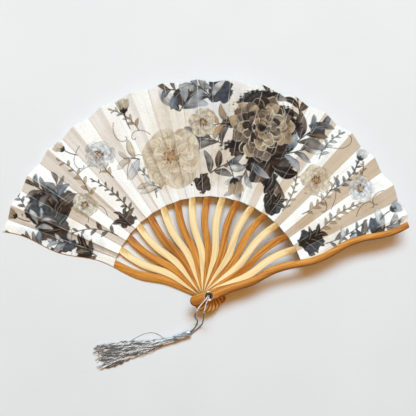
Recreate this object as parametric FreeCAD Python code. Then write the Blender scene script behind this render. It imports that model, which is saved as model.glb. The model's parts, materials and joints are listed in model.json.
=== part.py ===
import FreeCAD, Part
import math
import os

# A folding hand fan, open on its back. Millimetres, +Z up. The pivot axis is Z, the fan opens about
# it and points along +Y. The back of the rear guard lies on Z = 0.
# Each stick has its own frame: X runs out along the stick, Y runs anticlockwise, and Z = 0 is the
# stick's back face. Sticks go clockwise from the rear guard to the front guard, each a layer higher.

Vector = FreeCAD.Vector
Z_AXIS = Vector(0, 0, 1)
X_AXIS = Vector(1, 0, 0)

# ---- the set of sticks
rib_count = 15
fan_angle = 142.4
mean_direction = 90.0

# ---- lengths measured from the pivot
rib_length = 211.0
guard_length = 212.5
rib_tail = 17.0
guard_tail = 19.2
leaf_inner_radius = 98.5
leaf_outer_radius = 214.0

# ---- widths
rib_head_width = 9.6
rib_width = 7.0
slip_width = 3.4
slip_tip_width = 2.8
guard_head_width = 10.6
guard_width = 8.0
guard_leaf_width = 7.2
guard_tip_width = 6.4

# ---- thicknesses and clearances between layers
rib_thickness = 1.1
slip_thickness = 0.6
guard_thickness = 3.15
front_guard_leaf_thickness = 2.4
cloth_thickness = 0.25
layer_gap = 0.05
glue_gap = 0.05
running_gap = 0.1
fold_gap = 0.15

# ---- the wave that every stick shares, so that they nest when the fan is closed
wave_height = 2.4
wave_length = 81.0
wave_crest_radius = 74.0
wave_start_radius = 18.0
wave_full_radius = 60.0

# ---- where the forms change along a stick
head_flat_end = 8.0
neck_end = 28.0
blade_end = 76.0
twist_start = 80.0
slip_narrow_start = 94.0
slip_narrow_end = 107.0
slip_straight_start = 112.0
guard_bow_start = 58.0
guard_bow_end = 88.0
head_overlap = 1.0
blade_spacing = 12.0
twist_spacing = 3.6
guard_blade_spacing = 7.0
guard_leaf_spacing = 14.0

# ---- pleats: a rib's panel is turned about the rib's own radial line, anticlockwise edge up
panel_tilt = 18.4
panel_share = 0.5
guard_panel_end_gap = 2.0
rear_panel_margin = 0.4
front_panel_margin = -0.5

# ---- the leaf's two end panels: from the guard's radial line to the fold beside it, at the leaf's inner
# and outer edge, to the crease past which the cloth slopes, and the slope's fall or rise at its end
rear_fold_reach = (5.9, 9.6)
rear_crease = 5.9
rear_flap_rise = -1.33
front_fold_reach = (3.2, 9.0)
front_crease = 6.0
front_flap_rise = 1.05

# ---- rounded outer faces of the guards, as (share of the half width, share of the thickness)
guard_round = [(1.0, 0.34), (0.86, 0.7), (0.42, 1.0)]
rear_head_bevel = 0.6
front_head_bevel = 1.2

# ---- hollow rivet
rivet_bore = 4.8
rivet_wall = 0.4
rivet_fit = 0.05
ring_diameter = 9.6
ring_height = 1.1
ring_round = [(1.0, 0.0), (0.95, 0.65), (0.8, 1.0), (0.66, 0.9)]
washer_diameter = 8.4
washer_thickness = 0.35
washer_recess = 0.9
roll_diameter = 6.8
roll_thickness = 0.3

# ---- cord and tassel
cord_diameter = 1.4
cord_sides = 8
knot_diameter = 4.6
knot_height = 4.0
knot_round = [(0.8, 0.0), (1.0, 0.4), (0.6, 1.0)]
tassel_direction = 199.5
tassel_start = Vector(-18.1, -39.1, 0)
floor_gap = 0.05
collar_diameter = 6.8
collar_bore = 4.6
collar_length = 2.6
collar_overhang = 1.0
sleeve_steps = [(6.4, 6.2), (5.6, 1.2), (6.0, 4.4)]
nose_gap = 0.1
knot_gap = 0.05
binding_length = 3.2
binding_diameter = 6.2
skirt_direction = 192.8
skirt_gap = 0.35
skirt_length = 81.0
skirt_settled_share = 0.3
skirt_shoulder_share = 0.35
skirt_sections = [(0.0, 5.2, 5.2), (0.14, 7.0, 5.8), (0.55, 16.0, 4.8), (1.0, 26.0, 3.6)]

# Each strand of the cord loop: out of the hollow rivet, over the tails, down to the tassel.
left_strand = [
    Vector(-0.95, -0.05, 20.6),
    Vector(-1.15, -0.25, 26.5),
    Vector(-4.9, -4.6, 26.2),
    Vector(-9.0, -9.3, 26.0),
    Vector(-12.9, -15.0, 25.8),
    Vector(-14.0, -19.6, 21.0),
    Vector(-13.0, -22.6, 15.0),
    Vector(-11.0, -25.0, 9.2),
    Vector(-10.2, -28.0, 3.6),
    Vector(-11.6, -32.0, 1.0),
    Vector(-14.2, -35.4, 1.4),
    Vector(-19.0, -38.65, 3.3),
]
right_strand = [
    Vector(0.25, -0.95, 20.6),
    Vector(0.1, -1.2, 26.5),
    Vector(-2.6, -6.0, 26.2),
    Vector(-4.2, -11.8, 26.0),
    Vector(-5.7, -18.8, 25.8),
    Vector(-5.3, -23.2, 21.0),
    Vector(-5.9, -26.4, 15.0),
    Vector(-5.3, -28.6, 9.0),
    Vector(-6.6, -31.2, 3.4),
    Vector(-9.6, -34.6, 1.1),
    Vector(-13.4, -37.4, 1.5),
    Vector(-18.45, -40.1, 3.3),
]

# ---- values worked out from those above
stick_count = rib_count + 2
step_angle = fan_angle / (stick_count - 1)
rib_pitch = rib_thickness + layer_gap
panel_slope = math.tan(math.radians(panel_tilt))
panel_half_angle = step_angle * panel_share / 2
cloth_height = cloth_thickness / math.cos(math.radians(panel_tilt))
panel_base = slip_thickness + glue_gap
twist_end = leaf_inner_radius - 1.0
wave_reach = wave_height + guard_leaf_width / 2
slip_reach = wave_height + slip_width / 2
first_rib_height = guard_thickness + layer_gap
lowest_slip = first_rib_height - panel_slope * slip_reach
lowest_panel = first_rib_height + panel_base - panel_slope * wave_reach
rear_guard_leaf_thickness = min(lowest_slip, lowest_panel) - cloth_thickness - glue_gap - running_gap
highest_panel = panel_base + cloth_height + panel_slope * wave_reach
front_guard_lift = highest_panel - rib_pitch + running_gap + cloth_thickness + glue_gap
front_guard_height = first_rib_height + rib_count * rib_pitch
front_head_top = front_guard_height + guard_thickness
rivet_diameter = rivet_bore + 2 * rivet_wall
hole_diameter = rivet_diameter + 2 * rivet_fit


def smooth(value, start, end):
    """0 before start, 1 after end, and a smooth rise between them."""
    share = min(max((value - start) / (end - start), 0.0), 1.0)
    return share * share * (3 - 2 * share)


def mix(first, last, share):
    return first + (last - first) * share


def wave(radius):
    """How far a stick's middle line stands anticlockwise of its radial line."""
    turn = 2 * math.pi * (radius - wave_crest_radius) / wave_length
    return wave_height * smooth(radius, wave_start_radius, wave_full_radius) * math.cos(turn)


def rib_middle(radius):
    """A rib's middle line: the shared wave in the blade, its radial line in the slip."""
    return wave(radius) * (1 - smooth(radius, slip_narrow_start, slip_straight_start))


def rib_half_width(radius):
    width = mix(rib_head_width, rib_width, smooth(radius, head_flat_end, neck_end))
    width = mix(width, slip_width, smooth(radius, slip_narrow_start, slip_narrow_end))
    share = (radius - slip_straight_start) / (rib_length - slip_straight_start)
    return mix(width, slip_tip_width, max(share, 0.0)) / 2


def guard_half_width(radius):
    width = mix(guard_head_width, guard_width, smooth(radius, head_flat_end, neck_end))
    width = mix(width, guard_leaf_width, smooth(radius, blade_end, slip_narrow_end))
    return mix(width, guard_tip_width, smooth(radius, slip_narrow_end, guard_length)) / 2


def stations(start, end, spacing):
    """Evenly spaced radii from start to end, about spacing apart."""
    count = max(2, math.ceil((end - start) / spacing))
    return [mix(start, end, index / count) for index in range(count + 1)]


def side_curve(half_width, side, radii):
    """One long edge of a stick, on its anticlockwise (side = 1) or clockwise side (side = -1)."""
    curve = Part.BSplineCurve()
    curve.interpolate([Vector(radius, wave(radius) + side * half_width(radius), 0) for radius in radii])
    return curve.toShape()


def blade_face(half_width, tail, end):
    """A stick's flat outline from its round tail to the radius end, lying in XY."""
    head_half = half_width(head_flat_end)
    tail_middle = -(tail - head_half)
    radii = stations(head_flat_end, end, blade_spacing)
    left = side_curve(half_width, 1, radii)
    right = side_curve(half_width, -1, radii)
    left_end = Vector(end, wave(end) + half_width(end), 0)
    right_end = Vector(end, wave(end) - half_width(end), 0)
    left_head = Vector(head_flat_end, head_half, 0)
    right_head = Vector(head_flat_end, -head_half, 0)
    left_tail = Vector(tail_middle, head_half, 0)
    right_tail = Vector(tail_middle, -head_half, 0)
    tip = Vector(-tail, 0, 0)
    edges = [
        Part.LineSegment(left_tail, left_head).toShape(),
        left,
        Part.LineSegment(left_end, right_end).toShape(),
        right,
        Part.LineSegment(right_head, right_tail).toShape(),
        Part.Arc(right_tail, tip, left_tail).toShape(),
    ]
    return Part.Face(Part.Wire(Part.__sortEdges__(edges)))


def rib_section(radius):
    """A rib's cross-section: flat in the blade, thinner and turned with the leaf's panel in the slip."""
    share = smooth(radius, twist_start, twist_end)
    slope = panel_slope * share
    thickness = mix(rib_thickness, slip_thickness, share)
    low = rib_middle(radius) - rib_half_width(radius)
    high = rib_middle(radius) + rib_half_width(radius)
    return Part.makePolygon([
        Vector(radius, low, slope * low),
        Vector(radius, high, slope * high),
        Vector(radius, high, slope * high + thickness),
        Vector(radius, low, slope * low + thickness),
        Vector(radius, low, slope * low),
    ])


def rivet_hole(height):
    return Part.makeCylinder(hole_diameter / 2, height)


def make_slip():
    """The thin straight end of a rib, lying in the plane of the leaf's panel."""
    def edge_point(radius, side):
        across = rib_middle(radius) + side * rib_half_width(radius)
        return Vector(radius, across, panel_slope * across)
    edges = []
    for side in (1, -1):
        curve = Part.BSplineCurve()
        curve.interpolate([edge_point(r, side) for r in stations(twist_end, slip_straight_start, twist_spacing)])
        edges.append(curve.toShape())
        straight = Part.LineSegment(edge_point(slip_straight_start, side), edge_point(rib_length, side))
        edges.append(straight.toShape())
    for radius in (twist_end, rib_length):
        edges.append(Part.LineSegment(edge_point(radius, -1), edge_point(radius, 1)).toShape())
    return Part.Face(Part.Wire(Part.__sortEdges__(edges))).extrude(Vector(0, 0, slip_thickness))


def make_rib():
    blade = blade_face(rib_half_width, rib_tail, blade_end).extrude(Vector(0, 0, rib_thickness))
    twist = Part.makeLoft([rib_section(r) for r in stations(blade_end, twist_end, twist_spacing)], True)
    return blade.fuse([twist, make_slip()]).cut(rivet_hole(rib_thickness)).removeSplitter()


def guard_section(radius, inner, outer):
    """A guard's cross-section: a flat inner face, low sides and a rounded outer face."""
    middle = wave(radius)
    half = guard_half_width(radius)
    shares = [(1.0, 0.0)] + guard_round
    points = [Vector(radius, middle + half * across, mix(inner, outer, up)) for across, up in shares]
    points += [Vector(radius, middle - half * across, mix(inner, outer, up)) for across, up in reversed(shares)]
    return Part.makePolygon(points + [points[0]])


def rear_guard_faces(radius):
    """Heights of the rear guard's inner (upper) and outer (lower) face."""
    share = smooth(radius, guard_bow_start, guard_bow_end)
    return mix(guard_thickness, rear_guard_leaf_thickness, share), 0.0


def front_guard_faces(radius):
    """Heights of the front guard's inner (lower) and outer (upper) face above its own layer."""
    share = smooth(radius, guard_bow_start, guard_bow_end)
    inner = front_guard_lift * share
    return inner, mix(guard_thickness, front_guard_lift + front_guard_leaf_thickness, share)


def make_guard(faces, bevel):
    """A guard: a round head plate, and a waved bar with a rounded outer face out to its tip."""
    head = blade_face(guard_half_width, guard_tail, head_flat_end + head_overlap)
    head = head.extrude(Vector(0, 0, guard_thickness))
    inner, outer = faces(0)
    rims = [edge for edge in head.Edges if lies_at(edge, outer)]
    head = head.makeChamfer(bevel, rims)
    radii = stations(head_flat_end, leaf_inner_radius, guard_blade_spacing)
    radii += stations(leaf_inner_radius, guard_length, guard_leaf_spacing)[1:]
    sections = [guard_section(radius, *faces(radius)) for radius in radii]
    bar = Part.makeLoft(sections, True)
    return head.fuse(bar).cut(rivet_hole(guard_thickness)).removeSplitter()


def lies_at(edge, height):
    """Whether an edge of the head plate is part of its outer rim at a height."""
    box = edge.BoundBox
    flat = abs(box.ZMin - height) < 1e-6 and abs(box.ZMax - height) < 1e-6
    return flat and box.XMax < head_flat_end + head_overlap / 2


def sector(start_angle, end_angle):
    """A flat piece of cloth between two radial folds and the leaf's two round edges."""
    def at(radius, angle):
        return Vector(radius * math.cos(math.radians(angle)), radius * math.sin(math.radians(angle)), 0)
    middle = (start_angle + end_angle) / 2
    outer = (leaf_outer_radius, start_angle, end_angle)
    inner = (leaf_inner_radius, end_angle, start_angle)
    edges = [
        Part.Arc(at(outer[0], outer[1]), at(outer[0], middle), at(outer[0], outer[2])),
        Part.LineSegment(at(leaf_outer_radius, end_angle), at(leaf_inner_radius, end_angle)),
        Part.Arc(at(inner[0], inner[1]), at(inner[0], middle), at(inner[0], inner[2])),
        Part.LineSegment(at(leaf_inner_radius, start_angle), at(leaf_outer_radius, start_angle)),
    ]
    return Part.Face(Part.Wire([edge.toShape() for edge in edges]))


def make_rib_panel():
    """The pleat glued along a rib's slip, turned with it."""
    flat_half = math.degrees(math.atan(math.tan(math.radians(panel_half_angle)) / math.cos(
        math.radians(panel_tilt))))
    panel = sector(-flat_half, flat_half).extrude(Vector(0, 0, cloth_thickness))
    panel.rotate(Vector(0, 0, 0), X_AXIS, panel_tilt)
    panel.translate(Vector(0, 0, panel_base))
    return panel


def leaf_share(radius):
    return (radius - leaf_inner_radius) / (leaf_outer_radius - leaf_inner_radius)


def bend_radius(reach, crease):
    """Where a guard's fold, going outwards, passes its crease."""
    if reach[0] >= crease:
        return leaf_inner_radius
    share = (crease - reach[0]) / (reach[1] - reach[0])
    return mix(leaf_inner_radius, leaf_outer_radius, share)


def guard_fold_point(radius, side, base, reach, crease, rise):
    """A point of the fold beside a guard, in the guard's own frame."""
    across = mix(*reach, leaf_share(radius))
    slope = rise / (reach[1] - crease)
    return Vector(radius, side * across, base + slope * max(across - crease, 0.0))


def make_guard_panel(end_radius, side, margin, base, reach, crease, rise):
    """An end of the leaf, glued on a guard's inner face. One edge follows the guard's waved edge, a
    margin past it. The other is the fold beside the guard, on the given side, and beyond the crease
    the cloth slopes."""
    radii = stations(leaf_inner_radius, end_radius, guard_leaf_spacing)
    waved = Part.BSplineCurve()
    waved.interpolate([Vector(radius, wave(radius) - side * (guard_half_width(radius) + margin), base)
                       for radius in radii])
    fold_start = guard_fold_point(leaf_inner_radius, side, base, reach, crease, rise)
    bend = Vector(bend_radius(reach, crease), side * crease, base)
    flat_end = Vector(end_radius, side * crease, base)
    tip = guard_fold_point(end_radius, side, base, reach, crease, rise)
    corners = [waved.StartPoint, fold_start, bend, flat_end, waved.EndPoint]
    sides = [Part.LineSegment(first, last).toShape() for first, last in zip(corners, corners[1:])
             if first.distanceToPoint(last) > fold_gap]
    outline = Part.Wire(Part.__sortEdges__(sides + [waved.toShape()]))
    flat = Part.Face(outline).extrude(Vector(0, 0, cloth_thickness))
    flap = Part.Face(Part.makePolygon([bend, flat_end, tip, bend])).extrude(Vector(0, 0, cloth_thickness))
    return flat.fuse(flap)


def make_free_panel(valley, ridge, bend):
    """The pleat between two sticks, from a low fold to a high fold that may bend at a radius between
    its ends. The folds aren't parallel, so it is flat triangles of cloth."""
    first = valley(leaf_inner_radius)
    radii = [leaf_inner_radius] + [bend] * (bend > leaf_inner_radius) + [leaf_outer_radius]
    rim = [ridge(radius) for radius in radii] + [valley(leaf_outer_radius)]
    panel = None
    for before, after in zip(rim, rim[1:]):
        triangle = Part.makePolygon([first, before, after, first])
        piece = Part.Face(triangle).extrude(Vector(0, 0, cloth_height))
        panel = piece if panel is None else panel.fuse(piece)
    return panel


def stick_angle(index):
    return mean_direction + fan_angle / 2 - index * step_angle


def stick_height(index):
    if index == 0:
        return 0.0
    return first_rib_height + (index - 1) * rib_pitch


def rear_guard_fold():
    """The side, base, reach, crease and rise of the rear guard's panel."""
    return -1, rear_guard_leaf_thickness + glue_gap, rear_fold_reach, rear_crease, rear_flap_rise


def front_guard_fold():
    """The side, base, reach, crease and rise of the front guard's panel."""
    base = front_guard_lift - glue_gap - cloth_thickness
    return 1, base, front_fold_reach, front_crease, front_flap_rise


def panel_edge(index, side):
    """The fold at the anticlockwise (side = 1) or clockwise (side = -1) edge of a stick's panel, a
    small gap outside that panel."""
    turn = FreeCAD.Rotation(Z_AXIS, stick_angle(index))
    lift = Vector(0, 0, stick_height(index))
    gap = Vector(0, side * fold_gap, 0)

    def edge(radius):
        if index == 0:
            point = guard_fold_point(radius, *rear_guard_fold())
        elif index == stick_count - 1:
            point = guard_fold_point(radius, *front_guard_fold())
        else:
            across = side * radius * math.tan(math.radians(panel_half_angle))
            point = Vector(radius, across, panel_base + panel_slope * across)
        return turn.multVec(point + gap) + lift
    return edge


def placed(shape, index):
    """A copy of a shape in a stick's own frame, put where that stick is when the fan is open."""
    copy = shape.copy()
    copy.rotate(Vector(0, 0, 0), Z_AXIS, stick_angle(index))
    copy.translate(Vector(0, 0, stick_height(index)))
    return copy


def revolved(profile, axis):
    """A solid turned from a closed profile in the XZ plane about an axis through the origin."""
    closed = Part.makePolygon(profile + [profile[0]])
    return Part.Face(closed).revolve(Vector(0, 0, 0), axis, 360)


def make_eyelet():
    """The hollow rivet: a tube with a rounded ring in front, its rear end rolled outwards."""
    seat = front_head_top + glue_gap
    ring = [Vector(ring_diameter / 2 * across, 0, seat + ring_height * up) for across, up in ring_round]
    profile = ring + [
        Vector(rivet_bore / 2, 0, seat + ring_height / 2),
        Vector(rivet_bore / 2, 0, floor_gap),
        Vector(roll_diameter / 2, 0, floor_gap),
        Vector(roll_diameter / 2, 0, floor_gap + roll_thickness),
        Vector(rivet_diameter / 2, 0, floor_gap + roll_thickness),
        Vector(rivet_diameter / 2, 0, seat),
    ]
    return revolved(profile, Z_AXIS)


def make_washer():
    base = floor_gap + roll_thickness + layer_gap
    washer = Part.makeCylinder(washer_diameter / 2, washer_thickness, Vector(0, 0, base))
    return washer.cut(rivet_hole(guard_thickness))


def rounded_route(points):
    """Straight runs joined by tangent arcs, each as large as its two runs allow. Returns the path, its
    length and the arcs' radii."""
    edges = []
    radii = []
    start = points[0]
    for before, corner, after in zip(points, points[1:], points[2:]):
        inward = (before - corner).normalize()
        onward = (after - corner).normalize()
        turn = math.pi - inward.getAngle(onward)
        reach = 0.45 * min((before - corner).Length, (after - corner).Length)
        radius = reach / math.tan(turn / 2)
        radii.append(radius)
        arc_start = corner + inward * reach
        arc_end = corner + onward * reach
        bisector = (inward + onward).normalize()
        sagitta = radius / math.cos(turn / 2) - radius
        arc_middle = corner + bisector * sagitta
        edges.append(Part.LineSegment(start, arc_start).toShape())
        edges.append(Part.Arc(arc_start, arc_middle, arc_end).toShape())
        start = arc_end
    edges.append(Part.LineSegment(start, points[-1]).toShape())
    return Part.Wire(edges), sum(edge.Length for edge in edges), radii


def make_strand(name, points):
    """One strand, a tube whose many-sided section has the area of the round cord's."""
    path, length, radii = rounded_route(points)
    section = math.pi * cord_diameter ** 2 / 4
    corner_radius = math.sqrt(2 * section / (cord_sides * math.sin(2 * math.pi / cord_sides)))
    circle = Part.Circle(points[0], points[1] - points[0], corner_radius)
    corners = [circle.value(2 * math.pi * side / cord_sides) for side in range(cord_sides + 1)]
    tube = path.makePipeShell([Part.makePolygon(corners)], True, False)
    print(name, "length", round(length, 2), "volume ratio", round(tube.Volume / (section * length), 4),
          "radii", [round(radius, 1) for radius in radii], "lowest", round(tube.BoundBox.ZMin, 3))
    return tube


def make_knot():
    """The stopper knot that jams in the rivet's bore under the two strands."""
    top = left_strand[0].z - knot_gap
    outline = [(0.0, 0.0)] + knot_round + [(0.0, 1.0)]
    profile = [Vector(knot_diameter / 2 * across, 0, top - knot_height * down) for across, down in outline]
    return revolved(profile, Z_AXIS)


def lay_tassel(shape, direction, start):
    shape.rotate(Vector(0, 0, 0), Z_AXIS, direction)
    shape.translate(start)
    return shape


def tassel_axis_height():
    return collar_diameter / 2 + floor_gap


def turned_profile(steps, start):
    """A profile of stepped bands along X, each a (diameter, length), as points in the XZ plane."""
    profile = [Vector(start, 0, 0)]
    along = start
    for diameter, length in steps:
        profile.append(Vector(along, 0, diameter / 2))
        along += length
        profile.append(Vector(along, 0, diameter / 2))
    profile.append(Vector(along, 0, 0))
    return profile, along


def make_tassel():
    """The collar, the wrapped sleeve, the binding thread and the skirt, all lying on the floor."""
    start = tassel_start + Vector(0, 0, tassel_axis_height())
    nose = (collar_bore - 2 * nose_gap, collar_length - collar_overhang)
    profile, sleeve_end = turned_profile([nose] + sleeve_steps, collar_overhang)
    sleeve = revolved(profile, X_AXIS)
    collar = Part.makeCylinder(collar_diameter / 2, collar_length, Vector(0, 0, 0), X_AXIS)
    collar = collar.cut(Part.makeCylinder(collar_bore / 2, collar_length, Vector(0, 0, 0), X_AXIS))
    binding = Part.makeCylinder(binding_diameter / 2, binding_length, Vector(sleeve_end, 0, 0), X_AXIS)
    skirt_start = Vector(sleeve_end + binding_length + skirt_gap, 0, 0)
    pieces = {"tassel_head": sleeve, "tassel_collar": collar, "tassel_binding": binding}
    laid = {name: lay_tassel(shape, tassel_direction, start) for name, shape in pieces.items()}
    neck = start + FreeCAD.Rotation(Z_AXIS, tassel_direction).multVec(skirt_start)
    laid["tassel_skirt"] = make_skirt(neck)
    return laid


def flat_sided(sections):
    """A solid of flat faces through many-sided sections whose matching sides are parallel."""
    faces = [Part.Face(Part.makePolygon(section + [section[0]])) for section in (sections[0], sections[-1])]
    for near, far in zip(sections, sections[1:]):
        for index in range(len(near)):
            after = (index + 1) % len(near)
            corners = [near[index], near[after], far[after], far[index], near[index]]
            faces.append(Part.Face(Part.makePolygon(corners)))
    return Part.Solid(Part.Shell(faces))


def make_skirt(neck):
    """The bundle of threads, spreading and settling onto the floor towards its cut end."""
    sections = []
    for share, width, height in skirt_sections:
        middle = mix(neck.z, height / 2 + floor_gap, smooth(share, 0.0, skirt_settled_share)) - neck.z
        side = width / 2
        top = height / 2
        shoulder = top * skirt_shoulder_share
        quarter = [(side, shoulder), (side - top + shoulder, top)]
        half = quarter + [(-across, up) for across, up in reversed(quarter)]
        outline = half + [(across, -up) for across, up in reversed(half)]
        along = share * skirt_length
        sections.append([Vector(along, across, middle + up) for across, up in outline])
    return lay_tassel(flat_sided(sections), skirt_direction, neck)


def make_all():
    nodes = {}
    last = stick_count - 1
    rib = make_rib()
    rib_panel = make_rib_panel()
    recess = Part.makeCylinder(washer_diameter / 2 + rivet_fit, washer_recess)
    nodes["rear_guard"] = placed(make_guard(rear_guard_faces, rear_head_bevel).cut(recess), 0)
    nodes["front_guard"] = placed(make_guard(front_guard_faces, front_head_bevel), last)
    rear_panel = make_guard_panel(leaf_outer_radius, rear_guard_fold()[0], rear_panel_margin,
                                  *rear_guard_fold()[1:])
    front_panel = make_guard_panel(guard_length - guard_panel_end_gap, front_guard_fold()[0],
                                   front_panel_margin, *front_guard_fold()[1:])
    nodes["leaf_panel_00"] = placed(rear_panel, 0)
    nodes[f"leaf_panel_{last:02d}"] = placed(front_panel, last)
    for index in range(1, last):
        nodes[f"rib_{index:02d}"] = placed(rib, index)
        nodes[f"leaf_panel_{index:02d}"] = placed(rib_panel, index)
    for index in range(last):
        bend = leaf_inner_radius
        if index + 1 == last:
            bend = bend_radius(front_fold_reach, front_crease)
        nodes[f"leaf_fold_{index:02d}"] = make_free_panel(panel_edge(index, -1), panel_edge(index + 1, 1), bend)
    nodes["rivet_eyelet"] = make_eyelet()
    nodes["rivet_washer"] = make_washer()
    nodes["cord_left"] = make_strand("cord_left", left_strand)
    nodes["cord_right"] = make_strand("cord_right", right_strand)
    nodes["cord_knot"] = make_knot()
    nodes.update(make_tassel())
    return nodes


os.makedirs("parts", exist_ok=True)
for name, shape in make_all().items():
    solids = shape.Solids
    if len(solids) != 1 or not shape.isValid():
        print("check", name, len(solids), shape.isValid())
    solids[0].exportStep(f"parts/{name}.step")
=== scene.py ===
import json
import math
import random

import bmesh
import bpy
import numpy as np
from bpy.props import FloatProperty, FloatVectorProperty, IntProperty, PointerProperty
from mathutils import Matrix, Vector


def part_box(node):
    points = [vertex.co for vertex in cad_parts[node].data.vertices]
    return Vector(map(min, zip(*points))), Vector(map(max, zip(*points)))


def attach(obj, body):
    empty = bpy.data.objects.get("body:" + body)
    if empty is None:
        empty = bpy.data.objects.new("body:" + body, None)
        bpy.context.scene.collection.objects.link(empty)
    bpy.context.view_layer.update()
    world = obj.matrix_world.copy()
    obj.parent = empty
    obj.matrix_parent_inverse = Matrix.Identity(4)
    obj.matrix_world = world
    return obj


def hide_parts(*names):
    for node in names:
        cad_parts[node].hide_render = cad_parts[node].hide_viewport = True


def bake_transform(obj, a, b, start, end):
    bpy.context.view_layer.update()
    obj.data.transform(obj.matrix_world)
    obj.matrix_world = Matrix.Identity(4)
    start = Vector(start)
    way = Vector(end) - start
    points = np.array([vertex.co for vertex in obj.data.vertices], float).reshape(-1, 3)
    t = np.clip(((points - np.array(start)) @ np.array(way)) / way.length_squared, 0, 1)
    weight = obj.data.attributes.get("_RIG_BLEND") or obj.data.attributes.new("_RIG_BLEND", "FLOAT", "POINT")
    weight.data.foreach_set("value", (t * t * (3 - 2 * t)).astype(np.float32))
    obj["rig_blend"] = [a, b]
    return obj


bl_info = {
    "name": "Folding hand fan",
    "version": (1, 0, 0),
    "blender": (4, 5, 0),
    "location": "View3D > Sidebar > Fan",
    "description": "Bamboo sticks, a pleated printed leaf, a hollow rivet, a cord and a tassel",
    "category": "Object",
}

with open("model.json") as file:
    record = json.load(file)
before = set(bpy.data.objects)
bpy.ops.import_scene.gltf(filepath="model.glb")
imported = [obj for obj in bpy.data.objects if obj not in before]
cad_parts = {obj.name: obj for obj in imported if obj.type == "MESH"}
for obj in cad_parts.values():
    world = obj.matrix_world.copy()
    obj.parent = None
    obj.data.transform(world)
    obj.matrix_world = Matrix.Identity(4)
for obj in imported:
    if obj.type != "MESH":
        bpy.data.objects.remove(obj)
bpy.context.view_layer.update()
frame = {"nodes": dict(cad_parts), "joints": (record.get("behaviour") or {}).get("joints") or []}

# Lengths are in metres unless a name says otherwise. A stick's own frame has X along the stick, Y
# anticlockwise across it, and Z = 0 on its back face.
MM = 0.001
FAN_ANGLE = math.radians(142.4)
MEAN_DIRECTION = math.radians(90.0)
LAST_STICK = len(frame["joints"])
STEP_ANGLE = FAN_ANGLE / LAST_STICK
FIRST_RIB_HEIGHT = 3.2 * MM
RIB_PITCH = 1.15 * MM

# The shared wave of the sticks, and the widths of the guards and the ribs. A rib narrows to a slip between
# the two radii of SLIP_NARROW.
WAVE_HEIGHT = 2.4 * MM
WAVE_LENGTH = 81.0 * MM
WAVE_CREST = 74.0 * MM
GUARD_LEAF_WIDTH = 7.2 * MM
GUARD_TIP_WIDTH = 6.4 * MM
GUARD_LENGTH = 212.5 * MM
RIB_WIDTH = 7.0 * MM
SLIP_WIDTH = 3.4 * MM
SLIP_NARROW = (94.0 * MM, 107.0 * MM)

# The leaf: each stick's panel is tilted about the stick, and a free panel climbs from its clockwise
# fold to the next stick's anticlockwise fold. The clearances keep a free panel off the stick, the front
# guard and the rear guard it closes onto; a glued panel sags beside its slip.
LEAF_INNER = 98.5 * MM
LEAF_OUTER = 214.0 * MM
PANEL_SLOPE = math.tan(math.radians(18.4))
PANEL_BASE = 0.65 * MM
PANEL_HALF_ANGLE = STEP_ANGLE / 4
SLIP_CLEARANCE = 0.26 * MM
GUARD_CLEARANCE = 0.33 * MM
REAR_CLEARANCE = 0.3 * MM
GLUED_SAG = 0.12 * MM
HEM_LIFT = 0.08 * MM

# The leaf's end panels: their height on the guard, and the fold beside the guard at the leaf's inner and
# outer edge. Past its crease the cloth slopes.
REAR_PANEL_HEIGHT = 1.5 * MM
REAR_FOLD = (5.9 * MM, 9.6 * MM)
REAR_CREASE = 5.9 * MM
REAR_SLOPE = -0.3595
FRONT_PANEL_HEIGHT = 2.0 * MM
FRONT_FOLD = (3.2 * MM, 9.0 * MM)
FRONT_CREASE = 6.0 * MM
FRONT_SLOPE = 0.35

# The cloth's cut, in millimetres past its plain outer edge, at places counted in sticks. Its ridges stand
# out past its valleys.
CLOTH_STEPS = (0.0, 4.2, 5.1, 6.9, 8.0, 9.1, 13.2, 14.1, 16.0)
CLOTH_PAST = (0.0, 0.0, 1.0, 1.0, 0.3, 1.8, 1.8, 1.1, 0.8)
RIDGE_PAST = 1.1 * MM

# The sheets' flat widths at the outer edge with their areas.
GLUED_SHEET = (17.5 * MM, 0.00150)
FREE_SHEET = (17.9 * MM, 0.00154)
REAR_SHEET = (16.0 * MM, 0.00138)
FRONT_SHEET = (12.5 * MM, 0.00110)

# The range of a random phase, nearly a whole turn.
ROUND = 6.28

# Vertices nearer than WELD are one. Faces that turn less than FLAT_ANGLE are one face, and a stick's edges
# sharper than EDGE_ANGLE are rounded.
WELD = 0.002 * MM
FLAT_ANGLE = math.radians(0.6)
EDGE_ANGLE = math.radians(42)

# The cord's plies and the length of one turn of its twist. Its two strands, in millimetres, go out of the
# hollow rivet, over the tails and down to the tassel.
CORD_PLIES = 3
CORD_LAY = 2.6 * MM
LEFT_STRAND = [
    (-0.95, -0.05, 20.6), (-1.15, -0.25, 26.5), (-4.9, -4.6, 26.2), (-9.0, -9.3, 26.0),
    (-12.9, -15.0, 25.8), (-14.0, -19.6, 21.0), (-13.0, -22.6, 15.0), (-11.0, -25.0, 9.2),
    (-10.2, -28.0, 3.6), (-11.6, -32.0, 1.0), (-14.2, -35.4, 1.4), (-19.0, -38.65, 3.3),
]
RIGHT_STRAND = [
    (0.25, -0.95, 20.6), (0.1, -1.2, 26.5), (-2.6, -6.0, 26.2), (-4.2, -11.8, 26.0),
    (-5.7, -18.8, 25.8), (-5.3, -23.2, 21.0), (-5.9, -26.4, 15.0), (-5.3, -28.6, 9.0),
    (-6.6, -31.2, 3.4), (-9.6, -34.6, 1.1), (-13.4, -37.4, 1.5), (-18.45, -40.1, 3.3),
]

# The tassel lies on the floor, its sleeve and its skirt in slightly different directions.
TASSEL_START = Vector((-18.1, -39.1, 3.45)) * MM
SLEEVE_DIRECTION = math.radians(199.5)
SKIRT_DIRECTION = math.radians(192.8)
SKIRT_LENGTH = 81.0 * MM
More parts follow.
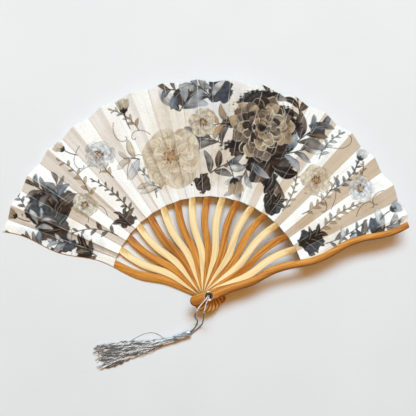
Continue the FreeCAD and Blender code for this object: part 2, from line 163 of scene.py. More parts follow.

# How pale each lock of the skirt is, in turn: a painted highlight on the pale locks and painted shade on the
# dark ones. The skirt's width and height in millimetres are given at shares of its length.
LOCK_TONES = (1.0, -0.8, 0.5, -1.0, 0.8)
SKIRT_SECTIONS = [(0.0, 5.2, 5.2), (0.14, 7.0, 5.8), (0.55, 17.0, 4.8), (1.0, 27.5, 3.6)]


def length_setting(name, description, default, smallest=0.0):
    return FloatProperty(name=name, description=description, default=default, min=smallest, unit="LENGTH")


def count_setting(name, description, default, smallest=1):
    return IntProperty(name=name, description=description, default=default, min=smallest)


def colour_setting(name, description, default):
    return FloatVectorProperty(name=name, description=description, subtype="COLOR", default=default,
                               min=0.0, max=1.0)


class FanSizes(bpy.types.PropertyGroup):
    """Sizes that a user may change without touching the frame."""

    stick_bevel: length_setting("Stick edge", "Width of the rounded edge along each stick", 0.00022)
    cloth_thickness: length_setting("Cloth thickness", "Thickness of the leaf's cloth", 0.00012, 0.00005)
    hem_width: length_setting("Hem width", "Width of the doubled cloth along the leaf's outer edge", 0.0030)
    panel_columns: count_setting("Panel columns", "Mesh columns across one pleat", 26, 4)
    panel_rows: count_setting("Panel rows", "Mesh rows along one pleat", 180, 8)
    cord_diameter: length_setting("Cord diameter", "Diameter of one strand of the cord", 0.0014, 0.0003)
    thread_diameter: length_setting("Thread diameter", "Diameter of one thread of the tassel", 0.00040,
                                    0.0001)
    lock_count: count_setting("Locks", "Locks of thread in the tassel's skirt", 34)
    lock_threads: count_setting("Threads in a lock", "Threads in one lock of the skirt", 12)


class FanColours(bpy.types.PropertyGroup):
    """Colours that a user may change."""

    cream_bamboo: colour_setting("Pale ribs", "Colour of the pale ribs", (0.95, 0.77, 0.43))
    brown_bamboo: colour_setting("Brown ribs", "Colour of the brown ribs", (0.67, 0.29, 0.052))
    guard_bamboo: colour_setting("Guards", "Colour of the two guards", (0.65, 0.285, 0.048))
    ground: colour_setting("Cloth", "Colour of the unprinted cloth", (0.94, 0.93, 0.895))
    metal: colour_setting("Rivet", "Colour of the hollow rivet", (0.80, 0.76, 0.68))
    cord: colour_setting("Cord", "Colour of the cord", (0.19, 0.175, 0.16))
    thread: colour_setting("Tassel thread", "Colour of the tassel's threads", (0.46, 0.455, 0.45))
    floor: colour_setting("Floor", "Colour of the floor", (0.80, 0.82, 0.84))


# ---------------------------------------------------------------- small helpers

def mix(first, last, share):
    return first + (last - first) * share


def smooth(value, start, end):
    """0 before start, 1 after end, and a smooth rise between them."""
    share = min(max((value - start) / (end - start), 0.0), 1.0)
    return share * share * (3 - 2 * share)


def wave(radius):
    """How far a guard's middle line stands anticlockwise of its radial line."""
    return WAVE_HEIGHT * math.cos(2 * math.pi * (radius - WAVE_CREST) / WAVE_LENGTH)


def guard_half_width(radius):
    share = smooth(radius, SLIP_NARROW[1], GUARD_LENGTH)
    return mix(GUARD_LEAF_WIDTH, GUARD_TIP_WIDTH, share) / 2


def rib_half_width(radius):
    return mix(RIB_WIDTH, SLIP_WIDTH, smooth(radius, *SLIP_NARROW)) / 2


def stick_angle(index):
    return MEAN_DIRECTION + FAN_ANGLE / 2 - index * STEP_ANGLE


def stick_height(index):
    if index == 0:
        return 0.0
    return FIRST_RIB_HEIGHT + (index - 1) * RIB_PITCH


def stick_name(index):
    if index == 0:
        return "rear_guard"
    if index == LAST_STICK:
        return "front_guard"
    return f"rib_{index:02d}"


def to_row(index, point):
    """A point of a stick's own frame, put where that stick is when the fan is open."""
    turned = Matrix.Rotation(stick_angle(index), 3, "Z") @ Vector(point)
    return turned + Vector((0, 0, stick_height(index)))


def new_object(name, bm, material, smooth_faces=True):
    """Ends a bmesh as an object at the origin, with one material."""
    mesh = bpy.data.meshes.new(name)
    bm.to_mesh(mesh)
    bm.free()
    mesh.materials.append(material)
    mesh.polygons.foreach_set("use_smooth", [smooth_faces] * len(mesh.polygons))
    piece = bpy.data.objects.new(name, mesh)
    bpy.context.scene.collection.objects.link(piece)
    return piece


def shaped_grid(columns, rows, place):
    """A grid whose point at shares (u, v) of its two sides is moved to place(u, v)."""
    bm = bmesh.new()
    bmesh.ops.create_grid(bm, x_segments=columns, y_segments=rows, size=0.5)
    shares = [(vert.co.x + 0.5, vert.co.y + 0.5) for vert in bm.verts]
    for vert, (u, v) in zip(bm.verts, shares):
        vert.co = place(u, v)
    bm.normal_update()
    return bm, shares


def closed_tube(columns, rows, place):
    """A shaped grid whose two long sides meet, with both ends closed."""
    bm, _ = shaped_grid(columns, rows, place)
    bmesh.ops.remove_doubles(bm, verts=bm.verts, dist=WELD)
    open_edges = [edge for edge in bm.edges if edge.is_boundary]
    bmesh.ops.holes_fill(bm, edges=open_edges, sides=0)
    bmesh.ops.recalc_face_normals(bm, faces=bm.faces)
    return bm


def spun(profile, steps, place):
    """A closed profile of (radius, height) points turned about Z, then put in place by a matrix."""
    bm = bmesh.new()
    verts = [bm.verts.new((radius, 0, height)) for radius, height in profile]
    edges = [bm.edges.new(pair) for pair in zip(verts, verts[1:] + verts[:1])]
    bmesh.ops.spin(bm, geom=verts + edges, axis=(0, 0, 1), cent=(0, 0, 0), dvec=(0, 0, 0),
                   angle=2 * math.pi, steps=steps, use_merge=True)
    bmesh.ops.remove_doubles(bm, verts=bm.verts, dist=WELD)
    bmesh.ops.recalc_face_normals(bm, faces=bm.faces)
    bmesh.ops.transform(bm, matrix=place, verts=bm.verts)
    return bm


# ---------------------------------------------------------------- materials

# Scales of noise are in features per metre: along the grain, the pleat or the threads, and across them.

class Finish:
    """A node material: its shader, and short calls that add and join nodes."""

    def __init__(self, name, **sockets):
        self.material = bpy.data.materials.new(name)
        self.material.use_nodes = True
        self.nodes = self.material.node_tree.nodes
        self.links = self.material.node_tree.links
        self.shader = self.nodes["Principled BSDF"]
        for socket, value in sockets.items():
            self.shader.inputs[socket.replace("_", " ")].default_value = value

    def add(self, kind, **inputs):
        node = self.nodes.new(kind)
        for socket, value in inputs.items():
            self.feed(node, socket.replace("_", " "), value)
        return node

    def feed(self, node, socket, value):
        if isinstance(value, bpy.types.NodeSocket):
            self.links.new(value, node.inputs[socket])
        else:
            node.inputs[socket].default_value = value

    def length(self, vector, scale):
        """The length of a vector whose parts have been scaled."""
        part = self.add("ShaderNodeMapping", Vector=vector, Scale=scale).outputs["Vector"]
        node = self.nodes.new("ShaderNodeVectorMath")
        node.operation = "LENGTH"
        self.links.new(part, node.inputs[0])
        return node.outputs["Value"]

    def uv(self, name, scale):
        source = self.nodes.new("ShaderNodeUVMap")
        source.uv_map = name
        return self.add("ShaderNodeMapping", Vector=source.outputs["UV"], Scale=scale).outputs["Vector"]

    def object_coordinates(self):
        return self.nodes.new("ShaderNodeTexCoord").outputs["Object"]

    def part(self, vector, axis):
        return self.add("ShaderNodeSeparateXYZ", Vector=vector).outputs[axis]

    def attribute(self, name, output):
        node = self.nodes.new("ShaderNodeAttribute")
        node.attribute_name = name
        return node.outputs[output]

    def noise(self, vector, scale, detail=3.0, roughness=0.55, distortion=0.0):
        return self.add("ShaderNodeTexNoise", Vector=vector, Scale=scale, Detail=detail,
                        Roughness=roughness, Distortion=distortion).outputs["Fac"]

    def ramp(self, factor, stops):
        node = self.nodes.new("ShaderNodeValToRGB")
        self.links.new(factor, node.inputs["Fac"])
        elements = node.color_ramp.elements
        while len(elements) < len(stops):
            elements.new(0.5)
        for element, (position, colour) in zip(elements, stops):
            element.position = position
            element.color = (*colour, 1.0)
        return node.outputs["Color"]

    def blend(self, factor, first, second, mode="MIX"):
        node = self.nodes.new("ShaderNodeMix")
        node.data_type = "RGBA"
        node.blend_type = mode
        self.feed(node, 0, factor)
        for socket, colour in ((6, first), (7, second)):
            self.feed(node, socket, colour if isinstance(colour, bpy.types.NodeSocket) else (*colour, 1.0))
        return node.outputs[2]

    def range(self, value, low, high, new_low, new_high):
        node = self.nodes.new("ShaderNodeMapRange")
        self.links.new(value, node.inputs["Value"])
        for socket, number in (("From Min", low), ("From Max", high), ("To Min", new_low),
                               ("To Max", new_high)):
            node.inputs[socket].default_value = number
        return node.outputs["Result"]

    def bump(self, height, strength, distance, below=None):
        node = self.add("ShaderNodeBump", Height=height, Strength=strength, Distance=distance)
        if below is not None:
            self.links.new(below, node.inputs["Normal"])
        return node.outputs["Normal"]

    def set(self, socket, value):
        self.links.new(value, self.shader.inputs[socket])


def scaled(colour, factor):
    return tuple(min(channel * factor, 1.0) for channel in colour)


def stained(colour, factor):
    """A darker colour that is also redder, as stained wood or a scorched edge is."""
    return tuple(max(channel, 0.001) * factor ** power for channel, power in zip(colour, (1.0, 1.5, 2.0)))


def bamboo(name, colour, painted_shade_colour, contrast, roughness, one_edge=False):
    """Split bamboo: long fibres, darker streaks and short dark vessels. Its second colour is painted shade
    along its rounded edges, or along its near edge alone, and a painted shadow on the tails and heads behind
    the pivot."""
    finish = Finish(name, Roughness=roughness, Specular_IOR_Level=0.22)
    fibre = finish.noise(finish.uv("Grain", (16.0, 1300.0, 1.0)), 1.0, 4.0, 0.7)
    streak = finish.noise(finish.uv("Grain", (12.0, 380.0, 1.0)), 1.0, 3.0, 0.6)
    vessel = finish.noise(finish.uv("Grain", (150.0, 1500.0, 1.0)), 1.0, 2.0, 0.5)
    cloud = finish.noise(finish.uv("Grain", (30.0, 90.0, 1.0)), 1.0, 2.0, 0.5)
    base = finish.ramp(fibre, [(0.3, scaled(colour, 1 - contrast)), (0.5, colour),
                               (0.72, scaled(colour, 1 + 0.5 * contrast))])
    layers = ((finish.range(streak, 0.48, 0.60, 0.0, 0.9), stained(colour, 1 - 1.6 * contrast)),
              (finish.range(vessel, 0.58, 0.72, 0.0, 0.7), stained(colour, 1 - 2.0 * contrast)),
              (finish.range(cloud, 0.35, 0.7, 0.0, 0.35), scaled(colour, 1 + 0.7 * contrast)))
    for cover, layer in layers:
        base = finish.blend(cover, base, layer)
    # Painted shade along the edges, where the rounded surface turns away from facing up; on the guards, on
    # the near (-Y) side alone.
    rounded = finish.attribute("Round", "Vector")
    if one_edge:
        edge = finish.range(finish.part(rounded, "Y"), 0.05, -0.6, 0.0, 1.0)
    else:
        edge = finish.range(finish.length(rounded, (1.0, 1.0, 0.0)), 0.10, 0.36, 0.0, 0.9)
    # A painted shadow on the tails and heads behind the pivot.
    depth = finish.part(finish.object_coordinates(), "Y")
    tail_shadow = finish.range(depth, 1.0 * MM, -6.0 * MM, 0.0, 0.75)
    base = finish.blend(edge, base, painted_shade_colour)
    base = finish.blend(tail_shadow, base, painted_shade_colour)
    finish.set("Base Color", base)
    finish.set("Roughness", finish.range(fibre, 0.2, 0.8, roughness - 0.06, roughness + 0.12))
    fine = finish.bump(fibre, 0.3, 0.12 * MM)
    finish.set("Normal", finish.bump(vessel, 0.2, 0.06 * MM, fine))
    return finish.material


def metal(name, colour, hollow_shade_and_reflection):
    """Pressed metal, bright on its rim, with painted shade in its bore and painted reflection of the bamboo
    round it.
    """
    finish = Finish(name, Metallic=1.0, Roughness=0.24)
    where = finish.object_coordinates()
    marks = finish.noise(where, 2600.0, 2.0, 0.6)
    spots = finish.noise(where, 260.0, 2.0, 0.5)
    # Towards the middle the colour turns to the painted shade in the bore and the painted reflection in the
    # funnel.
    radius = finish.length(where, (1.0, 1.0, 0.0))
    hollow = finish.ramp(finish.range(radius, 2.3 * MM, 4.8 * MM, 0.0, 1.0),
                         [(0.0, (0.0, 0.0, 0.0)), (0.3, (0.08, 0.08, 0.08)), (0.74, (0.22, 0.22, 0.22)),
                          (0.92, (1.0, 1.0, 1.0))])
    bright = finish.ramp(spots, [(0.42, stained(scaled(colour, 0.8), 0.6)), (0.56, colour)])
    finish.set("Base Color", finish.blend(hollow, hollow_shade_and_reflection, bright))
    finish.set("Roughness", finish.range(spots, 0.3, 0.7, 0.18, 0.36))
    finish.set("Normal", finish.bump(marks, 0.15, 0.03 * MM))
    return finish.material


def thread_finish(name, colour, shade, sheen, underside_shade):
    """Lustrous spun thread, paler and darker from thread to thread as its attribute Tone says: painted
    highlights and painted shade. Its darker locks are painted shade between them, and its lower side has
    painted shade."""
    finish = Finish(name, Roughness=0.36, Sheen_Weight=sheen, Sheen_Roughness=0.4)
    where = finish.object_coordinates()
    laid, broad = [finish.add("ShaderNodeMapping", Vector=where, Rotation=(0, 0, -SKIRT_DIRECTION),
                              Scale=(along, across, across)).outputs["Vector"]
                   for along, across in ((60.0, 900.0), (45.0, 420.0))]
    strand = finish.noise(laid, 1.0, 2.0, 0.6)
    lock = finish.noise(broad, 1.0, 2.0, 0.6, 0.4)
    fuzz = finish.noise(where, 5200.0, 2.0, 0.6)
    own = finish.attribute("Tone", "Fac")
    tone = finish.ramp(strand, [(0.40, scaled(colour, 0.3)), (0.50, scaled(colour, 1.0)),
                                (0.60, scaled(colour, 1.8))])
    underside_shade_colour = (0.05, 0.036, 0.026)
    height = finish.part(where, "Z")
    # Pale threads are painted highlights, dark threads and darker locks are painted shade in the gaps, and
    # below 3.3 mm the lower side gets painted shade.
    layers = ((finish.range(own, 0.0, 1.0, 0.0, 0.85), scaled(colour, 2.1)),
              (finish.range(own, 0.0, -1.0, 0.0, 0.9), shade),
              (finish.range(lock, 0.53, 0.60, 0.0, 0.8), shade),
              (finish.range(height, 3.3 * MM, 1.6 * MM, 0.0, underside_shade), underside_shade_colour))
    for cover, layer in layers:
        tone = finish.blend(cover, tone, layer)
    finish.set("Base Color", tone)
    finish.set("Normal", finish.bump(fuzz, 0.3, 0.05 * MM))
    return finish.material


def cord_finish(name, colour):
    """Twisted cord, paler where it comes out of the rivet and lies on the tails, a painted highlight, and
    darker below, painted shade.
    """
    finish = Finish(name, Roughness=0.45, Sheen_Weight=0.15, Sheen_Roughness=0.4)
    where = finish.object_coordinates()
    tone = finish.noise(where, 1300.0, 2.0, 0.6)
    depth = finish.part(where, "Y")
    dark = finish.ramp(tone, [(0.3, scaled(colour, 0.45)), (0.7, colour)])
    pale = finish.ramp(tone, [(0.38, scaled(colour, 1.0)), (0.54, scaled(colour, 4.9))])
    # Painted highlight on the cord by the rivet, and painted shade where it comes down to the floor.
    finish.set("Base Color", finish.blend(finish.range(depth, -17 * MM, -13.5 * MM, 0.0, 1.0), dark, pale))
    finish.set("Normal", finish.bump(tone, 0.3, 0.06 * MM))
    return finish.material


def cloth_finish(name):
    """Satin-faced cloth whose print is in the colour attribute Print: weave, pressed creases that run
    along the pleats with painted sheen in bluish and warm streaks, a little crumpling, and a sheen."""
    finish = Finish(name, Roughness=0.5, Sheen_Weight=0.03, Sheen_Roughness=0.35, Specular_IOR_Level=0.14)
    weave = finish.noise(finish.uv("Cloth", (1500.0, 1500.0, 1.0)), 1.0, 1.0, 0.5)
    speck = finish.noise(finish.uv("Cloth", (480.0, 480.0, 1.0)), 1.0, 3.0, 0.7)
    crease = finish.noise(finish.uv("Cloth", (330.0, 14.0, 1.0)), 1.0, 3.0, 0.6, 0.25)
    crumple = finish.noise(finish.uv("Cloth", (95.0, 60.0, 1.0)), 1.0, 3.0, 0.6, 0.7)
    # The creases' bluish and warm streaks on the colour are painted sheen.
    tone = finish.ramp(crease, [(0.28, (0.86, 0.89, 0.93)), (0.45, (0.98, 0.98, 0.98)),
                                (0.62, (1.03, 1.02, 1.0)), (0.8, (1.0, 0.95, 0.88))])
    colour = finish.blend(1.0, finish.attribute("Print", "Color"), tone, "MULTIPLY")
    specks = finish.ramp(speck, [(0.35, (0.9, 0.9, 0.9)), (0.65, (1.0, 1.0, 1.0))])
    colour = finish.blend(1.0, colour, specks, "MULTIPLY")
    finish.set("Base Color", colour)
    finish.set("Roughness", finish.range(crumple, 0.3, 0.7, 0.34, 0.6))
    soft = finish.bump(crumple, 0.5, 0.8 * MM)
    soft = finish.bump(crease, 0.7, 0.35 * MM, soft)
    finish.set("Normal", finish.bump(weave, 0.15, 0.05 * MM, soft))
    return finish.material


def floor_finish(name, colour):
    """Matt painted board, a little paler away from the viewer's side: a painted gradient of light."""
    finish = Finish(name, Roughness=0.85, Specular_IOR_Level=0.2)
    where = finish.object_coordinates()
    mottle = finish.noise(where, 9.0, 2.0, 0.5)
    depth = finish.part(where, "Y")
    # Painted light: darker towards the viewer's side and paler away from it, in place of the fall of the
    # light.
    tone = finish.ramp(finish.range(depth, -0.14, 0.30, 0.0, 1.0),
                       [(0.0, scaled(colour, 0.88)), (1.0, scaled(colour, 1.06))])
    finish.set("Base Color", finish.blend(finish.range(mottle, 0.3, 0.7, 0.0, 0.5), tone,
                                          scaled(colour, 0.98)))
    return finish.material


# ---------------------------------------------------------------- stage

class FAN_OT_stage(bpy.types.Operator):
    """Add the floor, the lights and the camera"""

    bl_idname = "fan.stage"
    bl_label = "Stage"

    def execute(self, context):
        colours = context.scene.fan_colours
        bm = bmesh.new()
        bmesh.ops.create_grid(bm, x_segments=1, y_segments=1, size=3.0)
        floor = new_object("floor", bm, floor_finish("floor_paint", colours.floor), smooth_faces=False)
        self.add_lights(context)
        self.add_camera(context)
        return {"FINISHED"}

    def add_lights(self, context):
        """A wide cool window beyond the leaf, a warm ceiling above it, and a dim warm room."""
        window_energy = 3.64
        window_turns = (-18.0, 0.0, 18.0)
        for turn in window_turns:
            self.add_lamp(context, "window", window_energy / len(window_turns), (0.605, 0.846, 1.0),
                          20.0, 53.0, turn)
        self.add_lamp(context, "ceiling", 1.15, (1.0, 0.46, 0.1), 50.0, 90.0, 0.0)
        world = bpy.data.worlds.new("room")
        world.use_nodes = True
        nodes, links = world.node_tree.nodes, world.node_tree.links
        room = nodes["Background"]
        room.inputs["Color"].default_value = (1.0, 0.6, 0.28, 1.0)
        room.inputs["Strength"].default_value = 0.1
        seen = nodes.new("ShaderNodeBackground")
        seen.inputs["Color"].default_value = (0.80, 0.82, 0.86, 1.0)
        path = nodes.new("ShaderNodeLightPath")
        direct = path.outputs["Is Camera Ray"]
        for ray in ("Is Glossy Ray", "Is Transmission Ray"):
            either = nodes.new("ShaderNodeMath")
            either.operation = "MAXIMUM"
            links.new(direct, either.inputs[0])
            links.new(path.outputs[ray], either.inputs[1])
            direct = either.outputs[0]
        chosen = nodes.new("ShaderNodeMixShader")
        links.new(direct, chosen.inputs[0])
        links.new(room.outputs[0], chosen.inputs[1])
        links.new(seen.outputs[0], chosen.inputs[2])
        links.new(chosen.outputs[0], nodes["World Output"].inputs["Surface"])
        context.scene.world = world

    def add_lamp(self, context, name, energy, colour, width, elevation, turn):
        """A far lamp: its width, its elevation, and its turn from the fan's own direction, in degrees."""
        lamp = bpy.data.lights.new(name, "SUN")
        lamp.energy = energy
        lamp.angle = math.radians(width)
        lamp.color = colour
        piece = bpy.data.objects.new(name, lamp)
        piece.rotation_euler = (math.radians(elevation - 90.0), 0, math.radians(turn))
        context.scene.collection.objects.link(piece)

    def add_camera(self, context):
        """Overhead, square to the leaf, which rises from left to right with the stack of sticks."""
        rise = 0.068
        distance = 0.80
        roll = math.radians(-0.7)
        aim = Vector((1.1 * MM, 87.0 * MM, 12.0 * MM))
        normal = Vector((-rise, 0, 1)).normalized()
        lens = bpy.data.cameras.new("camera")
        lens.sensor_width = 36.0
        lens.lens = 69.2
        lens.clip_start = 0.05
        camera = bpy.data.objects.new("camera", lens)
        across = Vector((0, 1, 0)).cross(normal).normalized()
        up = normal.cross(across)
        turned_across = across * math.cos(roll) + up * math.sin(roll)
        turned_up = normal.cross(turned_across)
        basis = Matrix((turned_across, turned_up, normal)).transposed()
        camera.matrix_world = Matrix.Translation(aim + normal * distance) @ basis.to_4x4()
        context.scene.collection.objects.link(camera)
        context.scene.camera = camera


# ---------------------------------------------------------------- cord

def route_points(name, control_points):
    """Points along the smooth line of a route, from its first control point to its last."""
    curve = bpy.data.curves.new(name, "CURVE")
    curve.dimensions = "3D"
    curve.resolution_u = 12
    spline = curve.splines.new("NURBS")
    spline.points.add(len(control_points) - 1)
    for point, place in zip(spline.points, control_points):
        point.co = (*(Vector(place) * MM), 1.0)
    spline.order_u = 3
    spline.use_endpoint_u = True
    line = bpy.data.objects.new(name, curve)
    mesh = bpy.data.meshes.new_from_object(line)
    points = [vert.co.copy() for vert in mesh.vertices]
    bpy.data.meshes.remove(mesh)
    bpy.data.objects.remove(line)
    bpy.data.curves.remove(curve)
    return points


def carried_frames(points):
    """A direction, a side and an up for each point, turned as little as the line lets them."""
    frames = []
    side = None
    for index, point in enumerate(points):
        before = points[max(index - 1, 0)]
        after = points[min(index + 1, len(points) - 1)]
        ahead = (after - before).normalized()
        if side is None:
            side = ahead.orthogonal().normalized()
        side = (side - ahead * side.dot(ahead)).normalized()
        frames.append((ahead, side, ahead.cross(side)))
    return frames


def resampled(points, spacing):
    """Evenly spaced points along a line of points, with the two ends kept."""
    lengths = [0.0]
    for before, after in zip(points, points[1:]):
        lengths.append(lengths[-1] + (after - before).length)
    count = max(2, round(lengths[-1] / spacing))
    wanted = np.linspace(0.0, lengths[-1], count + 1)
    line = np.array(points)
    columns = [np.interp(wanted, lengths, line[:, axis]) for axis in range(3)]
    return [Vector(point) for point in zip(*columns)], lengths[-1]


def twisted_cord(name, points, diameter, material):
    """A cord of twisted plies along a line, with its length."""
    line, length = resampled(points, 0.3 * MM)
    frames = carried_frames(line)
    rows = len(line) - 1

    def place(u, v):
        row = round(v * rows)
        ahead, side, up = frames[row]
        around = 2 * math.pi * u
        twist = 2 * math.pi * row / rows * length / CORD_LAY
        lobe = abs(math.cos(CORD_PLIES * (around - twist) / 2))
        radius = diameter / 2 * (0.74 + 0.26 * lobe)
        return line[row] + (side * math.cos(around) + up * math.sin(around)) * radius

    bm = closed_tube(8 * CORD_PLIES, rows, place)
    return new_object(name, bm, material), length


class FAN_OT_cord(bpy.types.Operator):
    """Add the two strands of the cord, and the knot that holds them in the rivet"""

    bl_idname = "fan.cord"
    bl_label = "Cord"

    def execute(self, context):
        sizes = context.scene.fan_sizes
        colours = context.scene.fan_colours
        finish = cord_finish("cord_thread", colours.cord)
        diameter = sizes.cord_diameter
        for node, route in (("cord_left", LEFT_STRAND), ("cord_right", RIGHT_STRAND)):
            points = route_points(node + "_route", route)
            strand, length = twisted_cord(node + "_twisted", points, diameter, finish)
            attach(strand, "rear_guard")
            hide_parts(node)
        self.add_knot(diameter, finish)
        return {"FINISHED"}

    def add_knot(self, diameter, finish):
        """A small overhand knot, its loops touching, under the strands."""
        low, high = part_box("cord_knot")
        middle = (low + high) / 2
        reach = (high.x - low.x) / 2 - diameter / 2
        lift = (high.z - low.z) / 2 - diameter / 2
        points = []
        steps = 96
        for step in range(steps + 1):
            turn = 2 * math.pi * step / steps
            spread = reach * (0.62 + 0.38 * math.cos(3 * turn))
            points.append(middle + Vector((spread * math.cos(2 * turn), spread * math.sin(2 * turn),
                                           lift * math.sin(3 * turn))))
        knot, _ = twisted_cord("cord_knot_tied", points, diameter, finish)
        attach(knot, "rear_guard")
        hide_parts("cord_knot")


# ---------------------------------------------------------------- sticks

def finished_copy(node, name, index, bevel, material):
    """A copy of a stick from the frame with its edges rounded, and its grain laid along the stick."""
    bm = bmesh.new()
    bm.from_mesh(frame["nodes"][node].data)
    bmesh.ops.remove_doubles(bm, verts=bm.verts, dist=WELD)
    bmesh.ops.dissolve_limit(bm, angle_limit=FLAT_ANGLE, verts=bm.verts, edges=bm.edges,
                             use_dissolve_boundaries=False)
    sharp = [edge for edge in bm.edges
             if len(edge.link_faces) == 2 and edge.calc_face_angle() > EDGE_ANGLE]
    bmesh.ops.bevel(bm, geom=sharp, offset=bevel, offset_type="OFFSET", segments=2, profile=0.5,
                    affect="EDGES", material=-1, clamp_overlap=True)
    turn_back = Matrix.Rotation(-stick_angle(index), 3, "Z")
    grain = bm.loops.layers.uv.new("Grain")
    for face in bm.faces:
        for loop in face.loops:
            local = turn_back @ loop.vert.co
            loop[grain].uv = (local.x + 0.37 * index, local.y + 0.6 * local.z + 0.083 * index)
    piece = new_object(name, bm, material)
    piece.data.set_sharp_from_angle(angle=math.radians(32))
    # The corner normals are kept as the attribute Round, which places the finish's painted edge shade.
    normals = np.empty(len(piece.data.loops) * 3, np.float32)
    piece.data.corner_normals.foreach_get("vector", normals)
    piece.data.attributes.new("Round", "FLOAT_VECTOR", "CORNER").data.foreach_set("vector", normals)
    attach(piece, stick_name(index))
    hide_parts(node)
    return piece


class FAN_OT_ribs(bpy.types.Operator):
    """Add the fifteen ribs, pale and brown in turn"""

    bl_idname = "fan.ribs"
    bl_label = "Ribs"

    def execute(self, context):
        sizes = context.scene.fan_sizes
        colours = context.scene.fan_colours
        # The colour after each rib colour is its painted shade along the edges and on the tails.
        pale = bamboo("pale_bamboo", colours.cream_bamboo, (0.62, 0.34, 0.09), 0.06, 0.5)
        brown = bamboo("brown_bamboo", colours.brown_bamboo, (0.27, 0.08, 0.012), 0.32, 0.48)
        for index in range(1, LAST_STICK):
            is_pale = index % 2 == 1
            node = stick_name(index)
            rib = finished_copy(node, node + "_split", index, sizes.stick_bevel, pale if is_pale else brown)
        return {"FINISHED"}


class FAN_OT_guards(bpy.types.Operator):
    """Add the two guards"""

    bl_idname = "fan.guards"
    bl_label = "Guards"

    def execute(self, context):
        sizes = context.scene.fan_sizes
        colour = context.scene.fan_colours.guard_bamboo
        # The colour after the guards' colour is their painted shade on the near side and round the pivot.
        finish = bamboo("guard_bamboo", colour, (0.25, 0.072, 0.006), 0.28, 0.46, True)
        for index in (0, LAST_STICK):
            node = stick_name(index)
            guard = finished_copy(node, node + "_carved", index, 1.4 * sizes.stick_bevel, finish)
        return {"FINISHED"}


# ---------------------------------------------------------------- rivet

class FAN_OT_rivet(bpy.types.Operator):
    """Add the hollow rivet and its washer"""

    bl_idname = "fan.rivet"
    bl_label = "Rivet"

    def execute(self, context):
        # The last colour is the rivet's painted shade in its bore and painted reflection of the bamboo in
        # its funnel.
        finish = metal("rivet_metal", context.scene.fan_colours.metal, (0.10, 0.045, 0.018))
        pieces = ((self.add_eyelet(finish), "rivet_eyelet"), (self.add_washer(finish), "rivet_washer"))
        for piece, node in pieces:
            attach(piece, "rear_guard")
            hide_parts(node)
        return {"FINISHED"}

    def add_eyelet(self, finish):
        """A tube whose front opens in a funnel and rolls over in a bead, and whose rear is rolled out."""
        low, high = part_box("rivet_eyelet")
        ring = high.x
        seat = high.z - 1.1 * MM
        bore = 2.4 * MM
        bead = 0.46 * MM
        funnel = ((2.5, 0.35), (2.8, 0.5), (3.2, 0.62), (3.6, 0.8))
        rolled = ((2.8, 0.3), (3.2, 0.3), (3.4, 0.2), (3.4, 0.08), (3.2, 0.0))
        profile = [(bore, low.z), (bore, seat + 0.1 * MM)]
        profile += [(radius * MM, seat + lift * MM) for radius, lift in funnel]
        for step in range(9):
            turn = math.radians(150 - 22.5 * step)
            profile.append((ring - bead + bead * math.cos(turn), high.z - bead + bead * math.sin(turn)))
        profile += [(ring - 0.2 * MM, seat), (2.8 * MM, seat)]
        profile += [(radius * MM, low.z + lift * MM) for radius, lift in rolled]
        eyelet = new_object("rivet_eyelet_pressed", spun(profile, 72, Matrix.Identity(4)), finish)
        eyelet.data.set_sharp_from_angle(angle=math.radians(50))
        return eyelet

    def add_washer(self, finish):
        """A flat ring with chamfered edges."""
        low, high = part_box("rivet_washer")
        inner = 2.9 * MM
        edge = 0.08 * MM
        section = [(inner, low.z), (high.x - edge, low.z), (high.x, low.z + edge),
                   (high.x, high.z - edge), (high.x - edge, high.z), (inner, high.z)]
        washer = new_object("rivet_washer_turned", spun(section, 64, Matrix.Identity(4)), finish)
        washer.data.set_sharp_from_angle(angle=math.radians(40))
        return washer


# ---------------------------------------------------------------- the leaf's print

# The print's inks.
INK = {
    "black": (0.012, 0.008, 0.007),
    "umber": (0.050, 0.030, 0.021),
    "taupe": (0.24, 0.18, 0.135),
    "sand": (0.58, 0.45, 0.29),
    "beige": (0.72, 0.61, 0.44),
    "tan": (0.55, 0.34, 0.16),
    "slate": (0.040, 0.048, 0.062),
    "steel": (0.25, 0.29, 0.34),
    "mist": (0.58, 0.63, 0.69),
    "grey": (0.36, 0.35, 0.34),
    "cream": (0.86, 0.78, 0.62),
    "white": (0.93, 0.93, 0.92),
}


def rise(value, start, end):
    """The smooth step of a whole array."""
    share = np.clip((value - start) / (end - start), 0.0, 1.0)
    return share * share * (3 - 2 * share)


def ripple(x, y, size, seed):
    """Smooth cloudy values from about -1 to 1, of features about size across."""
    rng = random.Random(seed)
    total = np.zeros_like(x)
    for _ in range(6):
        heading = rng.uniform(0, math.pi)
        turns = 2 * math.pi / (size * rng.uniform(0.7, 2.2))
        total += np.sin((x * math.cos(heading) + y * math.sin(heading)) * turns + rng.uniform(0, ROUND))
    return total / 2.6


def tint(name):
    return np.array(INK[name])


def over(below, above, cover):
    """A colour laid over another, by a share for each point."""
    cover = cover[:, None]
    return below * (1 - cover) + above * cover


def around(centre, turn, distance):
    return (centre[0] + distance * math.cos(turn), centre[1] + distance * math.sin(turn))


